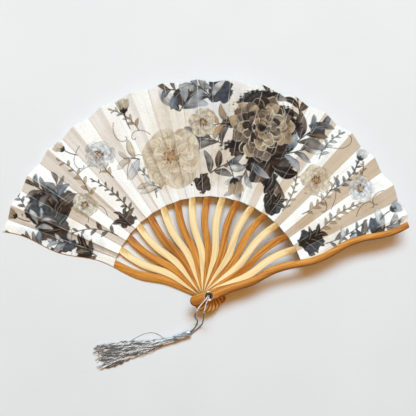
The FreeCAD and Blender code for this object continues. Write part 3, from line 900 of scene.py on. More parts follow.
class Print:
    """The cloth's colours at a set of points, in millimetres on the open fan, painted coat by coat."""

    def __init__(self, x, y, ground):
        self.x = x
        self.y = y
        self.colour = np.tile(np.array(ground, float), (len(x), 1))

    def near(self, centre, reach):
        gap = (self.x - centre[0]) ** 2 + (self.y - centre[1]) ** 2
        return np.nonzero(gap < reach * reach)[0]

    def coat(self, points, colour, cover):
        self.colour[points] = over(self.colour[points], colour, cover)

    def wash(self, centre, reach, ink, strength, seed, edge=0.5, cloudy=0.14):
        """A patch of thin colour with a broken edge: soft for a high edge, crisp for a low one."""
        points = self.near(centre, 1.6 * reach)
        if not len(points):
            return
        x, y = self.x[points] - centre[0], self.y[points] - centre[1]
        gap = np.hypot(x, y) / reach + 0.2 * ripple(x, y, 0.8 * reach, seed)
        gap = gap + 0.06 * ripple(x, y, 3.0, seed)
        cover = strength * (1 - rise(gap, 1.05 - edge, 1.05))
        cover = cover * (1 - cloudy + cloudy * ripple(x, y, 5.0, seed + 1))
        self.coat(points, tint(ink), np.clip(cover, 0, 1))

    def petal(self, base, heading, length, width, inks, blunt, seed, rim=0.0, midrib=0.0, veins=9,
              bend=0.0):
        """One petal or leaf from its base. inks are the colours of its base and its tip. blunt puts its
        widest place nearer its tip; rim is how pale its edge is, midrib its middle line, and bend how far
        it curves to one side."""
        points = self.near(around(base, heading, length / 2), 0.62 * max(length, width) + 1)
        if not len(points):
            return
        x, y = self.x[points] - base[0], self.y[points] - base[1]
        along = (x * math.cos(heading) + y * math.sin(heading)) / length
        share = np.clip(along, 0.0, 1.0)
        across = -x * math.sin(heading) + y * math.cos(heading) - bend * length * share * (1 - share)
        across = across + 0.06 * width * ripple(x, y, 0.5 * length, seed)
        half = width / 2 * np.sin(math.pi * share ** blunt) ** 0.7
        inside = np.where((along > 0) & (along < 1), half - np.abs(across), -1.0)
        spread = np.clip(across / np.maximum(half, 0.2), -1, 1)
        tone = share ** 0.9 + 0.25 * ripple(x, y, 0.35 * length, seed + 3)
        colour = over(tint(inks[0]), tint(inks[1]), np.clip(tone, 0, 1))
        colour = colour * (1 - 0.3 * (0.5 + 0.5 * spread))[:, None]
        lines = rise(np.sin(veins * spread + 2.5 * share), 0.4, 1.0) * (1 - 0.7 * share)
        colour = colour * (1 - 0.5 * lines[:, None])
        middle = midrib * rise(np.abs(across), 0.6, 0.1) * (1 - 0.7 * share)
        colour = over(colour, tint("beige"), middle)
        edge = rim * rise(inside, 1.5, 0.4) * rise(along, 0.15, 0.5)
        colour = over(colour, tint("cream"), edge)
        outline = 0.7 * (1 - rim) * rise(inside, 0.9, 0.1)
        colour = colour * (1 - outline[:, None])
        self.coat(points, colour, rise(inside, -0.25, 0.4))

    def stem(self, start, heading, length, bend, width, ink):
        """A thin curved stem. Returns points along it with the stem's heading at each."""
        steps = max(4, int(length / 2.0))
        places = []
        place = start
        for step in range(steps + 1):
            turned = heading + bend * step / steps
            places.append((place, turned))
            place = around(place, turned, length / steps)
        for (first, _), (last, _) in zip(places, places[1:]):
            points = self.near(around(first, math.atan2(last[1] - first[1], last[0] - first[0]),
                                      length / steps / 2), length / steps + 1.5)
            if not len(points):
                continue
            x, y = self.x[points] - first[0], self.y[points] - first[1]
            run = (last[0] - first[0], last[1] - first[1])
            t = np.clip((x * run[0] + y * run[1]) / (run[0] ** 2 + run[1] ** 2), 0, 1)
            gap = np.hypot(x - t * run[0], y - t * run[1])
            self.coat(points, tint(ink), 0.9 * rise(gap, width / 2 + 0.35, width / 2 - 0.2))
        return places

    def spray(self, start, heading, length, bend, leaf, inks, seed):
        """A stem with leaves in turn on its two sides, smaller towards its tip."""
        rng = random.Random(seed)
        places = self.stem(start, heading, length, bend, 0.75, "umber")
        picked = places[2::max(1, int(leaf / 3.2))]
        for step, (place, turned) in enumerate(picked):
            side = 1 if step % 2 else -1
            size = leaf * mix(1.0, 0.55, step / len(picked)) * rng.uniform(0.85, 1.15)
            self.petal(place, turned + side * rng.uniform(0.6, 1.0), size, 0.4 * size,
                       inks[rng.randrange(len(inks))], 1.05, seed + step, midrib=0.3, veins=7,
                       bend=-0.4 * side)
        place, turned = places[-1]
        self.petal(place, turned, 0.6 * leaf, 0.26 * leaf, inks[0], 1.05, seed + 90)

    def branch(self, start, heading, count, leaf, inks, seed):
        """A short twig of large overlapping leaves, the ones at its root painted last."""
        rng = random.Random(seed)
        places = self.stem(start, heading, 0.22 * leaf * count, rng.uniform(-0.7, 0.7), 1.0, "black")
        for step in reversed(range(count)):
            place, turned = places[round(step / count * (len(places) - 1))]
            side = 1 if (step + seed) % 2 else -1
            size = leaf * mix(1.1, 0.65, step / count) * rng.uniform(0.85, 1.15)
            turn = turned + side * mix(1.15, 0.25, step / count) + rng.uniform(-0.2, 0.2)
            self.petal(place, turn, size, 0.36 * size * rng.uniform(0.8, 1.2),
                       inks[rng.randrange(len(inks))], rng.uniform(0.95, 1.2), seed + step,
                       rim=rng.choice((0.0, 0.0, 0.25)), midrib=0.35, veins=10,
                       bend=-side * rng.uniform(0.1, 0.6))

    def scribble(self, start, heading, length, curl, ink):
        """A fine line that curls more and more."""
        place = start
        turned = heading
        while length > 6.0:
            place, turned = self.stem(place, turned, 0.34 * length, curl, 0.45, ink)[-1]
            length *= 0.66
            curl *= 1.25

    def dahlia(self, centre, reach, rings, seed):
        """A full round bloom seen from above: rings of dark cupped petals with pale rims."""
        rng = random.Random(seed)
        self.wash(centre, 1.12 * reach, "black", 1.0, seed, 0.1, 0.02)
        for ring in range(rings):
            share = ring / (rings - 1)
            radius = mix(1.06 * reach, 0.2 * reach, share)
            count = round(mix(15, 5, share))
            for step in range(count):
                turn = 2 * math.pi * (step + 0.5 * (ring % 2)) / count + rng.uniform(-0.13, 0.13)
                inks = (("black", "umber"), ("black", "taupe"), ("umber", "sand"))[rng.randrange(3)]
                self.petal(around(centre, turn, 0.36 * radius), turn + rng.uniform(-0.2, 0.2),
                           0.66 * radius * rng.uniform(0.86, 1.1), mix(14.0, 7.0, share) * reach / 30,
                           inks, rng.uniform(1.2, 1.6), seed + 7 * ring + step,
                           rim=rng.choice((0.15, 0.5, 0.8)), veins=11, bend=rng.uniform(-0.3, 0.3))
        self.wash(centre, 0.14 * reach, "black", 0.9, seed)

    def open_flower(self, centre, reach, count, inks, seed):
        """A wide flat flower of broad overlapping petals with a ring of stamens."""
        rng = random.Random(seed)
        for layer in range(3):
            for step in range(count):
                turn = 2 * math.pi * (step + 0.5 * layer) / count + rng.uniform(-0.14, 0.14) + 0.3 * seed
                size = reach * (1.0 - 0.22 * layer) * rng.uniform(0.9, 1.06)
                self.petal(centre, turn, size, 0.95 * size, inks, rng.uniform(1.6, 2.1),
                           seed + 13 * layer + step, rim=0.3, veins=16, bend=rng.uniform(-0.15, 0.15))
        self.wash(centre, 0.17 * reach, "taupe", 0.9, seed)
        for step in range(24):
            turn = rng.uniform(0, 2 * math.pi)
            gap = reach * rng.uniform(0.13, 0.3)
            self.stem(centre, turn, gap, 0.2, 0.3, "tan")
            self.wash(around(centre, turn, gap), 0.9, "umber", 0.9, step)

    def bud(self, centre, heading, size, inks, seed):
        """A closed flower: long petals side by side in a dark cup."""
        for turn in (-0.42, 0.42, -0.2, 0.2, 0.0):
            self.petal(centre, heading + turn, size, 0.36 * size, inks, 1.25, seed, rim=0.25)
        for turn in (-0.75, 0.75, 0.0):
            self.petal(centre, heading + turn, 0.42 * size, 0.2 * size, ("black", "umber"), 0.95, seed)
        self.stem(centre, heading + math.pi, 1.1 * size, 0.4, 0.9, "umber")


def at(degrees, radius):
    """A place on the open fan, in millimetres, from its direction and its distance from the pivot."""
    return around((0.0, 0.0), math.radians(degrees), radius)


# Rows of the print. Each starts with its place, in degrees and millimetres from the pivot; headings are in
# degrees. paint_leaf names the rest of each row.
DARK = [("black", "umber"), ("black", "black"), ("umber", "taupe"), ("black", "umber")]
DUSK = [("umber", "grey"), ("slate", "steel"), ("black", "taupe")]
COOL = [("slate", "mist"), ("steel", "mist"), ("slate", "white")]
WARM = [("tan", "beige"), ("taupe", "sand"), ("tan", "sand")]
PALE = [("sand", "cream"), ("beige", "white"), ("mist", "white")]

WASHES = [
    (150, 172, 32, "sand", 0.55), (133, 140, 24, "beige", 0.3), (121, 185, 22, "beige", 0.35),
    (112, 130, 26, "beige", 0.7), (101, 178, 34, "beige", 0.7), (88, 190, 30, "mist", 0.7),
    (90, 130, 30, "sand", 0.75), (76, 160, 42, "sand", 0.7), (62, 130, 26, "beige", 0.7),
    (45, 180, 18, "beige", 0.4), (30, 186, 20, "sand", 0.5), (26, 135, 22, "sand", 0.7),
    (158, 130, 20, "steel", 0.45), (160, 185, 20, "mist", 0.5), (36, 124, 14, "tan", 0.4),
]
SHADES = [
    (151, 182, 20, "black"), (156, 166, 14, "umber"), (146, 170, 10, "umber"), (160, 131, 8, "black"),
    (159.5, 150, 9, "slate"), (136, 110, 8, "umber"), (66, 139, 16, "black"), (60, 150, 10, "umber"),
    (78, 149, 9, "umber"), (86, 205, 12, "slate"), (96, 199, 10, "umber"), (92, 112, 9, "umber"),
    (54, 111, 10, "black"), (27, 116, 12, "black"), (21, 182, 10, "slate"), (20, 160, 8, "black"),
    (56, 200, 8, "slate"), (163, 190, 7, "black"), (163.5, 158, 6, "umber"), (163, 128, 6, "black"),
]
SPRAYS = [
    (146, 108, 150, 44, 0.9, 11, DUSK, 21), (140, 150, 105, 50, 0.8, 10, WARM, 24),
    (132, 112, 125, 50, 0.5, 8, DUSK, 25), (128, 150, 140, 34, -0.9, 8, WARM, 26),
    (117, 110, 100, 32, 0.7, 9, COOL, 28), (112, 178, 120, 34, 0.8, 9, WARM, 29),
    (48, 112, 50, 40, 0.6, 8, WARM, 31), (40, 124, 25, 50, 0.7, 9, WARM, 32),
    (50, 176, 70, 34, -0.8, 9, COOL, 33), (40, 160, 20, 40, 0.8, 9, DUSK, 34),
    (29, 128, 50, 50, -0.6, 9, WARM, 35), (23, 128, 15, 44, 0.45, 10, DUSK, 36),
    (33, 176, 60, 34, 0.5, 8, WARM, 39), (155, 196, 110, 24, 0.4, 9, DUSK, 40),
]
BRANCHES = [
    (155, 160, 120, 6, 21, DARK, 41), (149, 172, 90, 6, 22, DUSK, 42), (146, 186, 170, 5, 19, DUSK, 43),
    (158, 184, 60, 4, 16, COOL, 44), (160, 118, 150, 6, 17, DARK, 45), (159, 146, 160, 5, 16, COOL, 46),
    (138, 108, 110, 4, 14, DARK, 47), (98, 186, 60, 6, 24, COOL, 51), (88, 197, 130, 6, 22, COOL, 52),
    (97, 206, 170, 4, 18, DUSK, 53), (84, 152, 150, 6, 24, DUSK, 54), (88, 122, 40, 5, 21, DUSK, 55),
    (95, 110, 110, 4, 17, DARK, 56), (66, 150, -60, 6, 25, DARK, 57), (61, 160, 10, 6, 24, COOL, 58),
    (72, 141, -110, 6, 24, COOL, 59), (59, 178, 40, 6, 24, DUSK, 60), (62, 202, 100, 5, 20, DARK, 61),
    (82, 172, 170, 5, 22, WARM, 62), (55, 108, 30, 4, 15, DARK, 63), (28, 110, 30, 5, 16, DARK, 64),
    (163.5, 200, 170, 5, 14, DARK, 71), (163, 172, 160, 5, 14, DUSK, 72), (21, 140, 0, 6, 17, COOL, 65),
    (20, 160, 20, 6, 17, DARK, 66), (20, 186, 30, 5, 17, COOL, 67),
    (113, 116, 150, 4, 17, PALE, 68), (116, 152, 170, 4, 18, PALE, 69), (73, 208, 60, 4, 17, DUSK, 70),
]
SCRIBBLES = [
    (148, 140, 80, 46, 0.5), (138, 176, 60, 42, -0.5), (130, 196, 230, 38, 0.6), (124, 140, 100, 44, -0.5),
    (118, 196, 260, 36, 0.6), (109, 170, 140, 34, 0.7), (94, 150, 60, 40, -0.6), (80, 130, 20, 40, 0.6),
    (52, 190, 330, 46, 0.5), (46, 140, 0, 44, -0.5), (38, 196, 260, 36, 0.5), (34, 150, 60, 46, 0.5),
    (27, 168, 80, 36, -0.6), (141, 128, 100, 30, 0.8), (30, 205, 190, 30, 0.7),
]
FLOWERS = [
    (104, 143, 32, 6, ("tan", "cream"), 3), (127, 177, 16, 5, ("steel", "white"), 4),
    (46, 158, 16, 5, ("tan", "cream"), 6), (143, 152, 13, 5, ("taupe", "cream"), 8),
    (34, 187, 14, 5, ("steel", "white"), 9), (91, 173, 15, 5, ("taupe", "cream"), 10),
]
BUDS = [
    (114, 200, 100, 15, ("taupe", "cream"), 81), (41, 203, 60, 13, ("steel", "white"), 82),
    (134, 203, 150, 12, ("tan", "cream"), 83), (77, 120, -80, 17, ("taupe", "sand"), 84),
    (24, 202, 30, 13, ("slate", "mist"), 85), (157, 205, 150, 12, ("taupe", "sand"), 86),
]
DAHLIAS = [(71.5, 176, 31, 7, 5)]

# How strong every wash is, and the tint of the painted shade on a pleat that folds away from the light.
WASH_STRENGTH = 0.75
PLEAT_SHADE_TINT = (0.80, 0.72, 0.62)


def paint_leaf(x, y, ground):
    """The whole floral print: thin washes, dark hollows, twigs and leaves, then the flowers over them."""
    cloth = Print(x, y, ground)
    for degrees, radius, reach, ink, strength in WASHES:
        cloth.wash(at(degrees, radius), reach, ink, WASH_STRENGTH * strength, int(degrees), 0.7)
    for degrees, radius, heading, length, curl in SCRIBBLES:
        cloth.scribble(at(degrees, radius), math.radians(heading), length, curl, "umber")
    for degrees, radius, reach, ink in SHADES:
        cloth.wash(at(degrees, radius), reach, ink, 1.0, int(degrees + radius), 0.1, 0.02)
    for degrees, radius, heading, length, bend, leaf, inks, seed in SPRAYS:
        cloth.spray(at(degrees, radius), math.radians(heading), length, bend, leaf, inks, seed)
    for degrees, radius, heading, count, leaf, inks, seed in BRANCHES:
        cloth.branch(at(degrees, radius), math.radians(heading), count, leaf, inks, seed)
    for degrees, radius, reach, count, inks, seed in FLOWERS:
        cloth.open_flower(at(degrees, radius), reach, count, inks, seed)
    for degrees, radius, reach, rings, seed in DAHLIAS:
        cloth.dahlia(at(degrees, radius), reach, rings, seed)
    for degrees, radius, heading, size, inks, seed in BUDS:
        cloth.bud(at(degrees, radius), math.radians(heading), size, inks, seed)
    return cloth.colour


def cut_radius(step, share):
    """The radius at a share of a pleat's length, at a place counted in sticks."""
    to_ridge = abs((step - 0.25) % 1.0 - 0.5)
    tooth = (1 - 4 * to_ridge) * RIDGE_PAST
    past = float(np.interp(step, CLOTH_STEPS, CLOTH_PAST)) * MM
    return mix(LEAF_INNER - 0.3 * tooth, LEAF_OUTER + past + tooth, share)


def glued_panel_place(index, thickness):
    """The pleat glued to a rib: its upper face, tilted about the rib."""
    def place(u, v):
        radius = cut_radius(index + 0.25 - 0.5 * u, v)
        turn = mix(-PANEL_HALF_ANGLE, PANEL_HALF_ANGLE, u)
        across = radius * math.sin(turn)
        slip = rib_half_width(radius)
        sag = GLUED_SAG * smooth(abs(across), slip - 0.1 * MM, slip + 0.7 * MM)
        edge = radius * math.sin(PANEL_HALF_ANGLE) - abs(across)
        sag *= smooth(edge, 0.0, 0.8 * MM)
        lift = PANEL_BASE + PANEL_SLOPE * across + thickness - sag
        return to_row(index, (radius * math.cos(turn), across, lift))
    return place


def guard_fold(radius, reach, crease, height, slope):
    """How far the fold beside a guard is from the guard's radial line, and its height."""
    across = mix(*reach, (radius - LEAF_INNER) / (LEAF_OUTER - LEAF_INNER))
    return across, height + slope * max(across - crease, 0.0)


def rear_fold(radius):
    across, height = guard_fold(radius, REAR_FOLD, REAR_CREASE, REAR_PANEL_HEIGHT, REAR_SLOPE)
    return -across, height


def front_fold(radius):
    across, height = guard_fold(radius, FRONT_FOLD, FRONT_CREASE, FRONT_PANEL_HEIGHT, FRONT_SLOPE)
    return across, height + stick_height(LAST_STICK)


def section_point(u, section):
    """The point at a share of a section given as (share, across, height) rows."""
    shares, across, heights = zip(*section)
    return float(np.interp(u, shares, across)), float(np.interp(u, shares, heights))


def rear_panel_place(thickness):
    """The end of the leaf on the rear guard: a slope down to the fold, flat on the guard's inner face,
    and round the guard's far edge."""
    def place(u, v):
        radius = cut_radius(0.25 - 0.25 * u, v)
        half = guard_half_width(radius)
        near, far = wave(radius) - half, wave(radius) + half
        fold, fold_height = rear_fold(radius)
        top = REAR_PANEL_HEIGHT + thickness
        low = fold_height + thickness
        section = [(0.0, fold, low), (0.12, mix(fold, near, 0.3), mix(low, top, 0.36)),
                   (0.26, mix(fold, near, 0.7), mix(low, top, 0.8)), (0.36, near, mix(low, top, 0.99)),
                   (0.42, near + 0.8 * MM, top), (0.80, far - 0.5 * MM, top),
                   (0.86, far - 0.1 * MM, top - 0.06 * MM), (0.91, far + 0.18 * MM, top - 0.3 * MM),
                   (1.0, far + 0.24 * MM, 0.55 * MM)]
        across, height = section_point(u, section)
        return to_row(0, (radius, across, height))
    return place


def front_panel_place(thickness):
    """The end of the leaf under the front guard, and the slope up to the fold beside it."""
    def place(u, v):
        radius = mix(mix(LEAF_INNER, GUARD_LENGTH - 0.6 * MM, v), cut_radius(LAST_STICK - 0.25, v), u)
        half = guard_half_width(radius)
        fold, fold_height = front_fold(radius)
        base = FRONT_PANEL_HEIGHT + thickness
        rim = fold_height - stick_height(LAST_STICK) + thickness
        near = wave(radius) + half
        section = [(0.0, wave(radius) - half + 0.5 * MM, base), (0.3, min(near, fold) - 0.2 * MM, base),
                   (0.6, mix(min(near, fold), fold, 0.45), mix(base, rim, 0.3)), (1.0, fold, rim)]
        across, height = section_point(u, section)
        return to_row(LAST_STICK, (radius, across, height))
    return place


def free_panel_place(index, thickness):
    """The upper face of the pleat between two sticks. Closed, it turns flat onto the next stick, so
    its height is worked out over the sloping plane of that stick's slip: under the slip, then up to
    the fold beyond it."""
    after = index + 1
    height = stick_height(after)

    def ends(radius):
        """How far each fold is across its own stick, and how high."""
        side = radius * math.tan(PANEL_HALF_ANGLE)
        valley = (-side, stick_height(index) + PANEL_BASE - PANEL_SLOPE * side)
        ridge = (side, height + PANEL_BASE + PANEL_SLOPE * side)
        if index == 0:
            valley = rear_fold(radius)
        if after == LAST_STICK:
            ridge = front_fold(radius)
        return valley, ridge

    def place(u, v):
        radius = cut_radius(index + 0.25 + 0.5 * u, v)
        valley, ridge = ends(radius)
        across = mix(valley[0], ridge[0], u)
        first = valley[1] - height - PANEL_SLOPE * valley[0]
        last = ridge[1] - height - PANEL_SLOPE * ridge[0]
        slip = rib_half_width(radius)
        if after == LAST_STICK:
            lift = mix(mix(first, -GUARD_CLEARANCE, smooth(u, 0.0, 0.12)), last, u)
        elif index == 0:
            lift = mix(mix(first, REAR_CLEARANCE, u / 0.35), -SLIP_CLEARANCE,
                       smooth(across, -slip - 2.4 * MM, -slip - 0.3 * MM))
        else:
            lift = mix(first, -SLIP_CLEARANCE, smooth(u, 0.0, 0.12))
        if after < LAST_STICK:
            clear = (slip + 0.4 * MM - valley[0]) / (ridge[0] - valley[0])
            lift = mix(lift, last, smooth(u, min(clear, 0.94) - 0.02, 1.0))
        turn = stick_angle(index) - STEP_ANGLE * u + math.asin(across / radius)
        return Vector((radius * math.cos(turn), radius * math.sin(turn),
                       height + PANEL_SLOPE * across + lift + thickness))
    return place


def shaded_pleat_ground(ground, step):
    """The cloth's colour on one pleat, with painted shade on the pleats that fold away from the light: the
    glued ones towards the front guard, and the free ones towards the rear guard."""
    if step == int(step):
        shade_share = smooth(step, 8.5, 11.5) * (1 - 0.6 * smooth(step, 15.0, 16.0))
    else:
        shade_share = 0.75 * (1 - smooth(step, 1.0, 4.5))
    shade_share *= 1 + 0.25 * math.sin(7.3 * step)
    return [channel * mix(1.0, tint, shade_share) for channel, tint in zip(ground, PLEAT_SHADE_TINT)]


class FAN_OT_leaf(bpy.types.Operator):
    """Add the printed leaf: a panel glued to each stick, and a free panel between each two"""

    bl_idname = "fan.leaf"
    bl_label = "Leaf"

    def execute(self, context):
        sizes = context.scene.fan_sizes
        thickness = sizes.cloth_thickness
        self.finish = cloth_finish("printed_cloth")
        for index in range(LAST_STICK + 1):
            node = f"leaf_panel_{index:02d}"
            if index == 0:
                place, (width, area) = rear_panel_place(thickness), REAR_SHEET
            elif index == LAST_STICK:
                place, (width, area) = front_panel_place(thickness), FRONT_SHEET
            else:
                place, (width, area) = glued_panel_place(index, thickness), GLUED_SHEET
            panel = self.add_panel(context, node, place, index)
            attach(panel, stick_name(index))
        width, area = FREE_SHEET
        for index in range(LAST_STICK):
            node = f"leaf_fold_{index:02d}"
            panel = self.add_panel(context, node, free_panel_place(index, thickness), index + 0.5)
            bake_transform(panel, stick_name(index), stick_name(index + 1),
                     start=to_row(index, (LEAF_OUTER, 0, 0)), end=to_row(index + 1, (LEAF_OUTER, 0, 0)))
            weights = panel.data.attributes["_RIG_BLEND"].data
            weights.foreach_set("value", self.shares)
        return {"FINISHED"}

    def add_panel(self, context, node, place, step):
        """One panel of printed cloth, with its thickness and a doubled hem along its outer edge."""
        sizes = context.scene.fan_sizes
        bm, shares = shaped_grid(sizes.panel_columns, sizes.panel_rows, place)
        if sum(face.normal.z for face in bm.faces) < 0:
            bmesh.ops.reverse_faces(bm, faces=bm.faces)
            bm.normal_update()
        share = bm.verts.layers.float.new("Share")
        for vert, (u, _) in zip(bm.verts, shares):
            vert[share] = u
        length = LEAF_OUTER - LEAF_INNER
        hem = [vert for vert, (_, v) in zip(bm.verts, shares) if (1 - v) * length < sizes.hem_width]
        bmesh.ops.translate(bm, verts=hem, vec=(0, 0, HEM_LIFT))
        upper = len(bm.verts)
        bmesh.ops.solidify(bm, geom=list(bm.faces), thickness=sizes.cloth_thickness)
        bmesh.ops.recalc_face_normals(bm, faces=bm.faces)
        cloth = bm.loops.layers.uv.new("Cloth")
        for face in bm.faces:
            for loop in face.loops:
                radius = loop.vert.co.xy.length
                turn = math.atan2(loop.vert.co.y, loop.vert.co.x)
                loop[cloth].uv = ((turn - stick_angle(step)) * LEAF_OUTER + 0.0371 * step, radius)
        bm.verts.ensure_lookup_table()
        self.shares = [vert[share] for vert in bm.verts]
        panel = new_object(node + "_cloth", bm, self.finish)
        self.print_on(panel.data, upper, shaded_pleat_ground(context.scene.fan_colours.ground, step))
        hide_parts(node)
        return panel

    def print_on(self, mesh, upper, ground):
        """The print on the upper face, paler along the folds as a painted highlight, and its show-through on
        the under face.
        """
        places = np.empty(len(mesh.vertices) * 3)
        mesh.vertices.foreach_get("co", places)
        x, y = places[0::3] / MM, places[1::3] / MM
        colour = paint_leaf(x, y, ground)
        # Painted highlight along the folds, where the ridges catch the light.
        fold_highlight = 0.3 * rise(np.abs(np.array(self.shares) - 0.5), 0.465, 0.5) * (1 + ripple(x, y, 9.0, 3))
        colour = over(colour, np.array(ground), np.clip(fold_highlight, 0.0, 0.7))
        colour[upper:] = mix(colour[upper:], np.array(ground) * 0.95, 0.55)
        layer = mesh.color_attributes.new("Print", "FLOAT_COLOR", "POINT")
        layer.data.foreach_set("color", np.column_stack([colour, np.ones(len(colour))]).ravel())


# ---------------------------------------------------------------- tassel

def lay_down(direction):
    """The matrix that lays a shape made along X on the floor, along the tassel."""
    return Matrix.Translation(TASSEL_START) @ Matrix.Rotation(direction, 4, "Z")


def thread_bundle(name, lines, diameter, material, sides=4, tones=None):
    """Threads along lines of points, as one mesh. tones: each thread's painted highlight (1) or shade (-1).
    """
    curve = bpy.data.curves.new(name, "CURVE")
    curve.dimensions = "3D"
    curve.bevel_depth = diameter / 2
    curve.bevel_resolution = sides // 2 - 2
    curve.use_fill_caps = True
    for line in lines:
        spline = curve.splines.new("POLY")
        spline.points.add(len(line) - 1)
        spline.points.foreach_set("co", [value for point in line for value in (*point, 1.0)])
    wound = bpy.data.objects.new(name, curve)
    mesh = bpy.data.meshes.new_from_object(wound)
    bpy.data.objects.remove(wound)
    bpy.data.curves.remove(curve)
    mesh.name = name
    mesh.materials.clear()
    mesh.materials.append(material)
    mesh.polygons.foreach_set("use_smooth", [True] * len(mesh.polygons))
    if tones is not None:
        # The points of the two end caps come first, the last thread's ahead of the others'.
        points = [tone for tone in reversed(tones) for _ in range(2 * sides)]
        points += [tone for tone, line in zip(tones, lines) for _ in range(len(line) * sides)]
        mesh.attributes.new("Tone", "FLOAT", "POINT").data.foreach_set("value", points)
    threads = bpy.data.objects.new(name, mesh)
    bpy.context.scene.collection.objects.link(threads)
    return threads


def moved(place, lines):
    return [[place @ point for point in line] for line in lines]


def winding(start, end, radius, pitch, seed):
    """A thread wound round the tassel's own X axis, from start to end along it."""
    rng = random.Random(seed)
    turns = (end - start) / pitch
    steps = int(turns * 26)
    line = []
    uneven = 0.0
    for step in range(steps + 1):
        turn = 2 * math.pi * turns * step / steps
        uneven = 0.9 * uneven + rng.uniform(-0.012, 0.012) * MM
        line.append(Vector((mix(start, end, step / steps) + uneven, radius * math.cos(turn),
                            radius * math.sin(turn))))
    return line


class FAN_OT_tassel(bpy.types.Operator):
    """Add the tassel: collar, wrapped sleeve, binding and skirt"""

    bl_idname = "fan.tassel"
    bl_label = "Tassel"

    def execute(self, context):
        sizes = context.scene.fan_sizes
        colours = context.scene.fan_colours
        # The last number of each finish is how much painted shade its lower side gets near the floor.
        silver = thread_finish("tassel_wrap", scaled(colours.thread, 1.4), scaled(colours.thread, 0.5),
                               0.1, 0.85)
        # A dark finish for the collar's plug: painted shade.
        hollow = thread_finish("tassel_collar_shade", (0.05, 0.045, 0.04), (0.02, 0.018, 0.016), 0.0, 0.0)
        floss = thread_finish("tassel_floss", colours.thread, (0.03, 0.024, 0.02), 0.1, 0.4)
        tie = thread_finish("tassel_tie", scaled(colours.thread, 0.7), (0.03, 0.024, 0.02), 0.1, 0.95)
        laid = lay_down(SLEEVE_DIRECTION)
        pieces = (
            (self.add_collar(laid, silver, hollow), "tassel_collar", "thread_wrap"),
            (self.add_sleeve(laid, silver), "tassel_head", "thread_wrap"),
            (self.add_binding(laid, tie), "tassel_binding", "thread_wrap"),
            (self.add_skirt(sizes, floss), "tassel_skirt", "thread"),
        )
        for piece, node, slot in pieces:
            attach(piece, "rear_guard")
            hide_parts(node)
        return {"FINISHED"}

    def add_collar(self, laid, finish, inside):
        """A ring of three turns of cord that leans back, round a dark plug that is painted shade inside the
        ring.
        """
        radius = 2.88 * MM
        steps = 64
        lines = []
        for turn in range(3):
            along = (0.45 + 0.85 * turn) * MM
            line = []
            for step in range(steps + 1):
                angle = math.radians(8 + 344 * step / steps)
                lean = -0.28 * math.cos(angle) * mix(1.0, 0.2, turn / 2) * MM
                line.append(Vector((along + lean, radius * math.sin(angle), radius * math.cos(angle))))
            lines.append(line)
        ring = thread_bundle("tassel_collar_ring", moved(laid, lines), 1.02 * MM, finish, 8)
        # A dark plug inside the ring: painted shade in its hollow.
        plug = [(0.0, 0.8), (2.0, 0.8), (2.4, 1.1), (2.4, 2.5), (0.0, 2.5)]
        along_x = laid @ Matrix.Rotation(math.radians(90), 4, "Y")
        bm = spun([(radius * MM, along * MM) for radius, along in plug], 32, along_x)
        for face in bm.faces:
            face.material_index = 1
        bm.from_mesh(ring.data)
        bm.to_mesh(ring.data)
        bm.free()
        ring.data.materials.append(inside)
        return ring

    def add_sleeve(self, laid, finish):
        """Thread wound in three steps over a core."""
        core = [(0.0, 2.6), (2.95, 2.6), (2.95, 8.8), (2.5, 8.9), (2.5, 10.0), (2.75, 10.1),
                (2.75, 14.4), (0.0, 14.4)]
        along_x = laid @ Matrix.Rotation(math.radians(90), 4, "Y")
        bm = spun([(radius * MM, along * MM) for radius, along in core], 40, along_x)
        lines = [winding(2.75 * MM, 8.65 * MM, 2.98 * MM, 0.44 * MM, 1),
                 winding(8.95 * MM, 9.95 * MM, 2.56 * MM, 0.44 * MM, 2),
                 winding(10.2 * MM, 14.3 * MM, 2.78 * MM, 0.44 * MM, 3)]
        wound = thread_bundle("tassel_sleeve_wound", moved(laid, lines), 0.42 * MM, finish, 6)
        bm.from_mesh(wound.data)
        bm.to_mesh(wound.data)
        bm.free()
        return wound

    def add_binding(self, laid, finish):
        """The thread that ties the skirt's threads together under the sleeve."""
        lines = [winding(14.5 * MM, 17.5 * MM, 2.85 * MM, 0.5 * MM, 4)]
        return thread_bundle("tassel_binding_wound", moved(laid, lines), 0.48 * MM, finish, 6)

    def add_skirt(self, sizes, finish):
        """Locks of wavy thread, spreading from the neck and settling on the floor."""
        rng = random.Random(7)
        neck = lay_down(SLEEVE_DIRECTION) @ Vector((17.3 * MM, 0, 0))
        laid = Matrix.Translation(neck) @ Matrix.Rotation(SKIRT_DIRECTION, 4, "Z")
        lines = []
        tones = []
        for lock in range(sizes.lock_count):
            centre = -0.97 + 1.94 * (lock + rng.uniform(0.1, 0.9)) / sizes.lock_count
            path = self.path(rng, centre, (0.1, 0.95), (0.84, 1.02), (7.0, 13.0, 0.25, 0.65),
                             (26.0, 60.0, 0.6, 1.7), 0.12)
            # Tones paint each lock paler as a highlight or darker as shade, in the turn that LOCK_TONES
            # lists.
            pale = LOCK_TONES[lock % len(LOCK_TONES)]
            for _ in range(sizes.lock_threads):
                lines.append(self.thread(laid, rng, path, rng.gauss(0, 0.024)))
                tones.append(pale + rng.gauss(0, 0.35))
        for _ in range(sizes.lock_count):
            path = self.path(rng, rng.uniform(-0.95, 0.95), (0.5, 1.0), (0.7, 1.0), (9.0, 16.0, 0.5, 1.0),
                             (30.0, 70.0, 1.0, 2.2), 0.2)
            lines.append(self.thread(laid, rng, path, 0.0))
            tones.append(rng.choice((-1.0, 1.0)))
        lines.append(self.stray_thread())
        tones.append(-0.6)
        return thread_bundle("tassel_skirt_threads", lines, sizes.thread_diameter, finish, tones=tones)

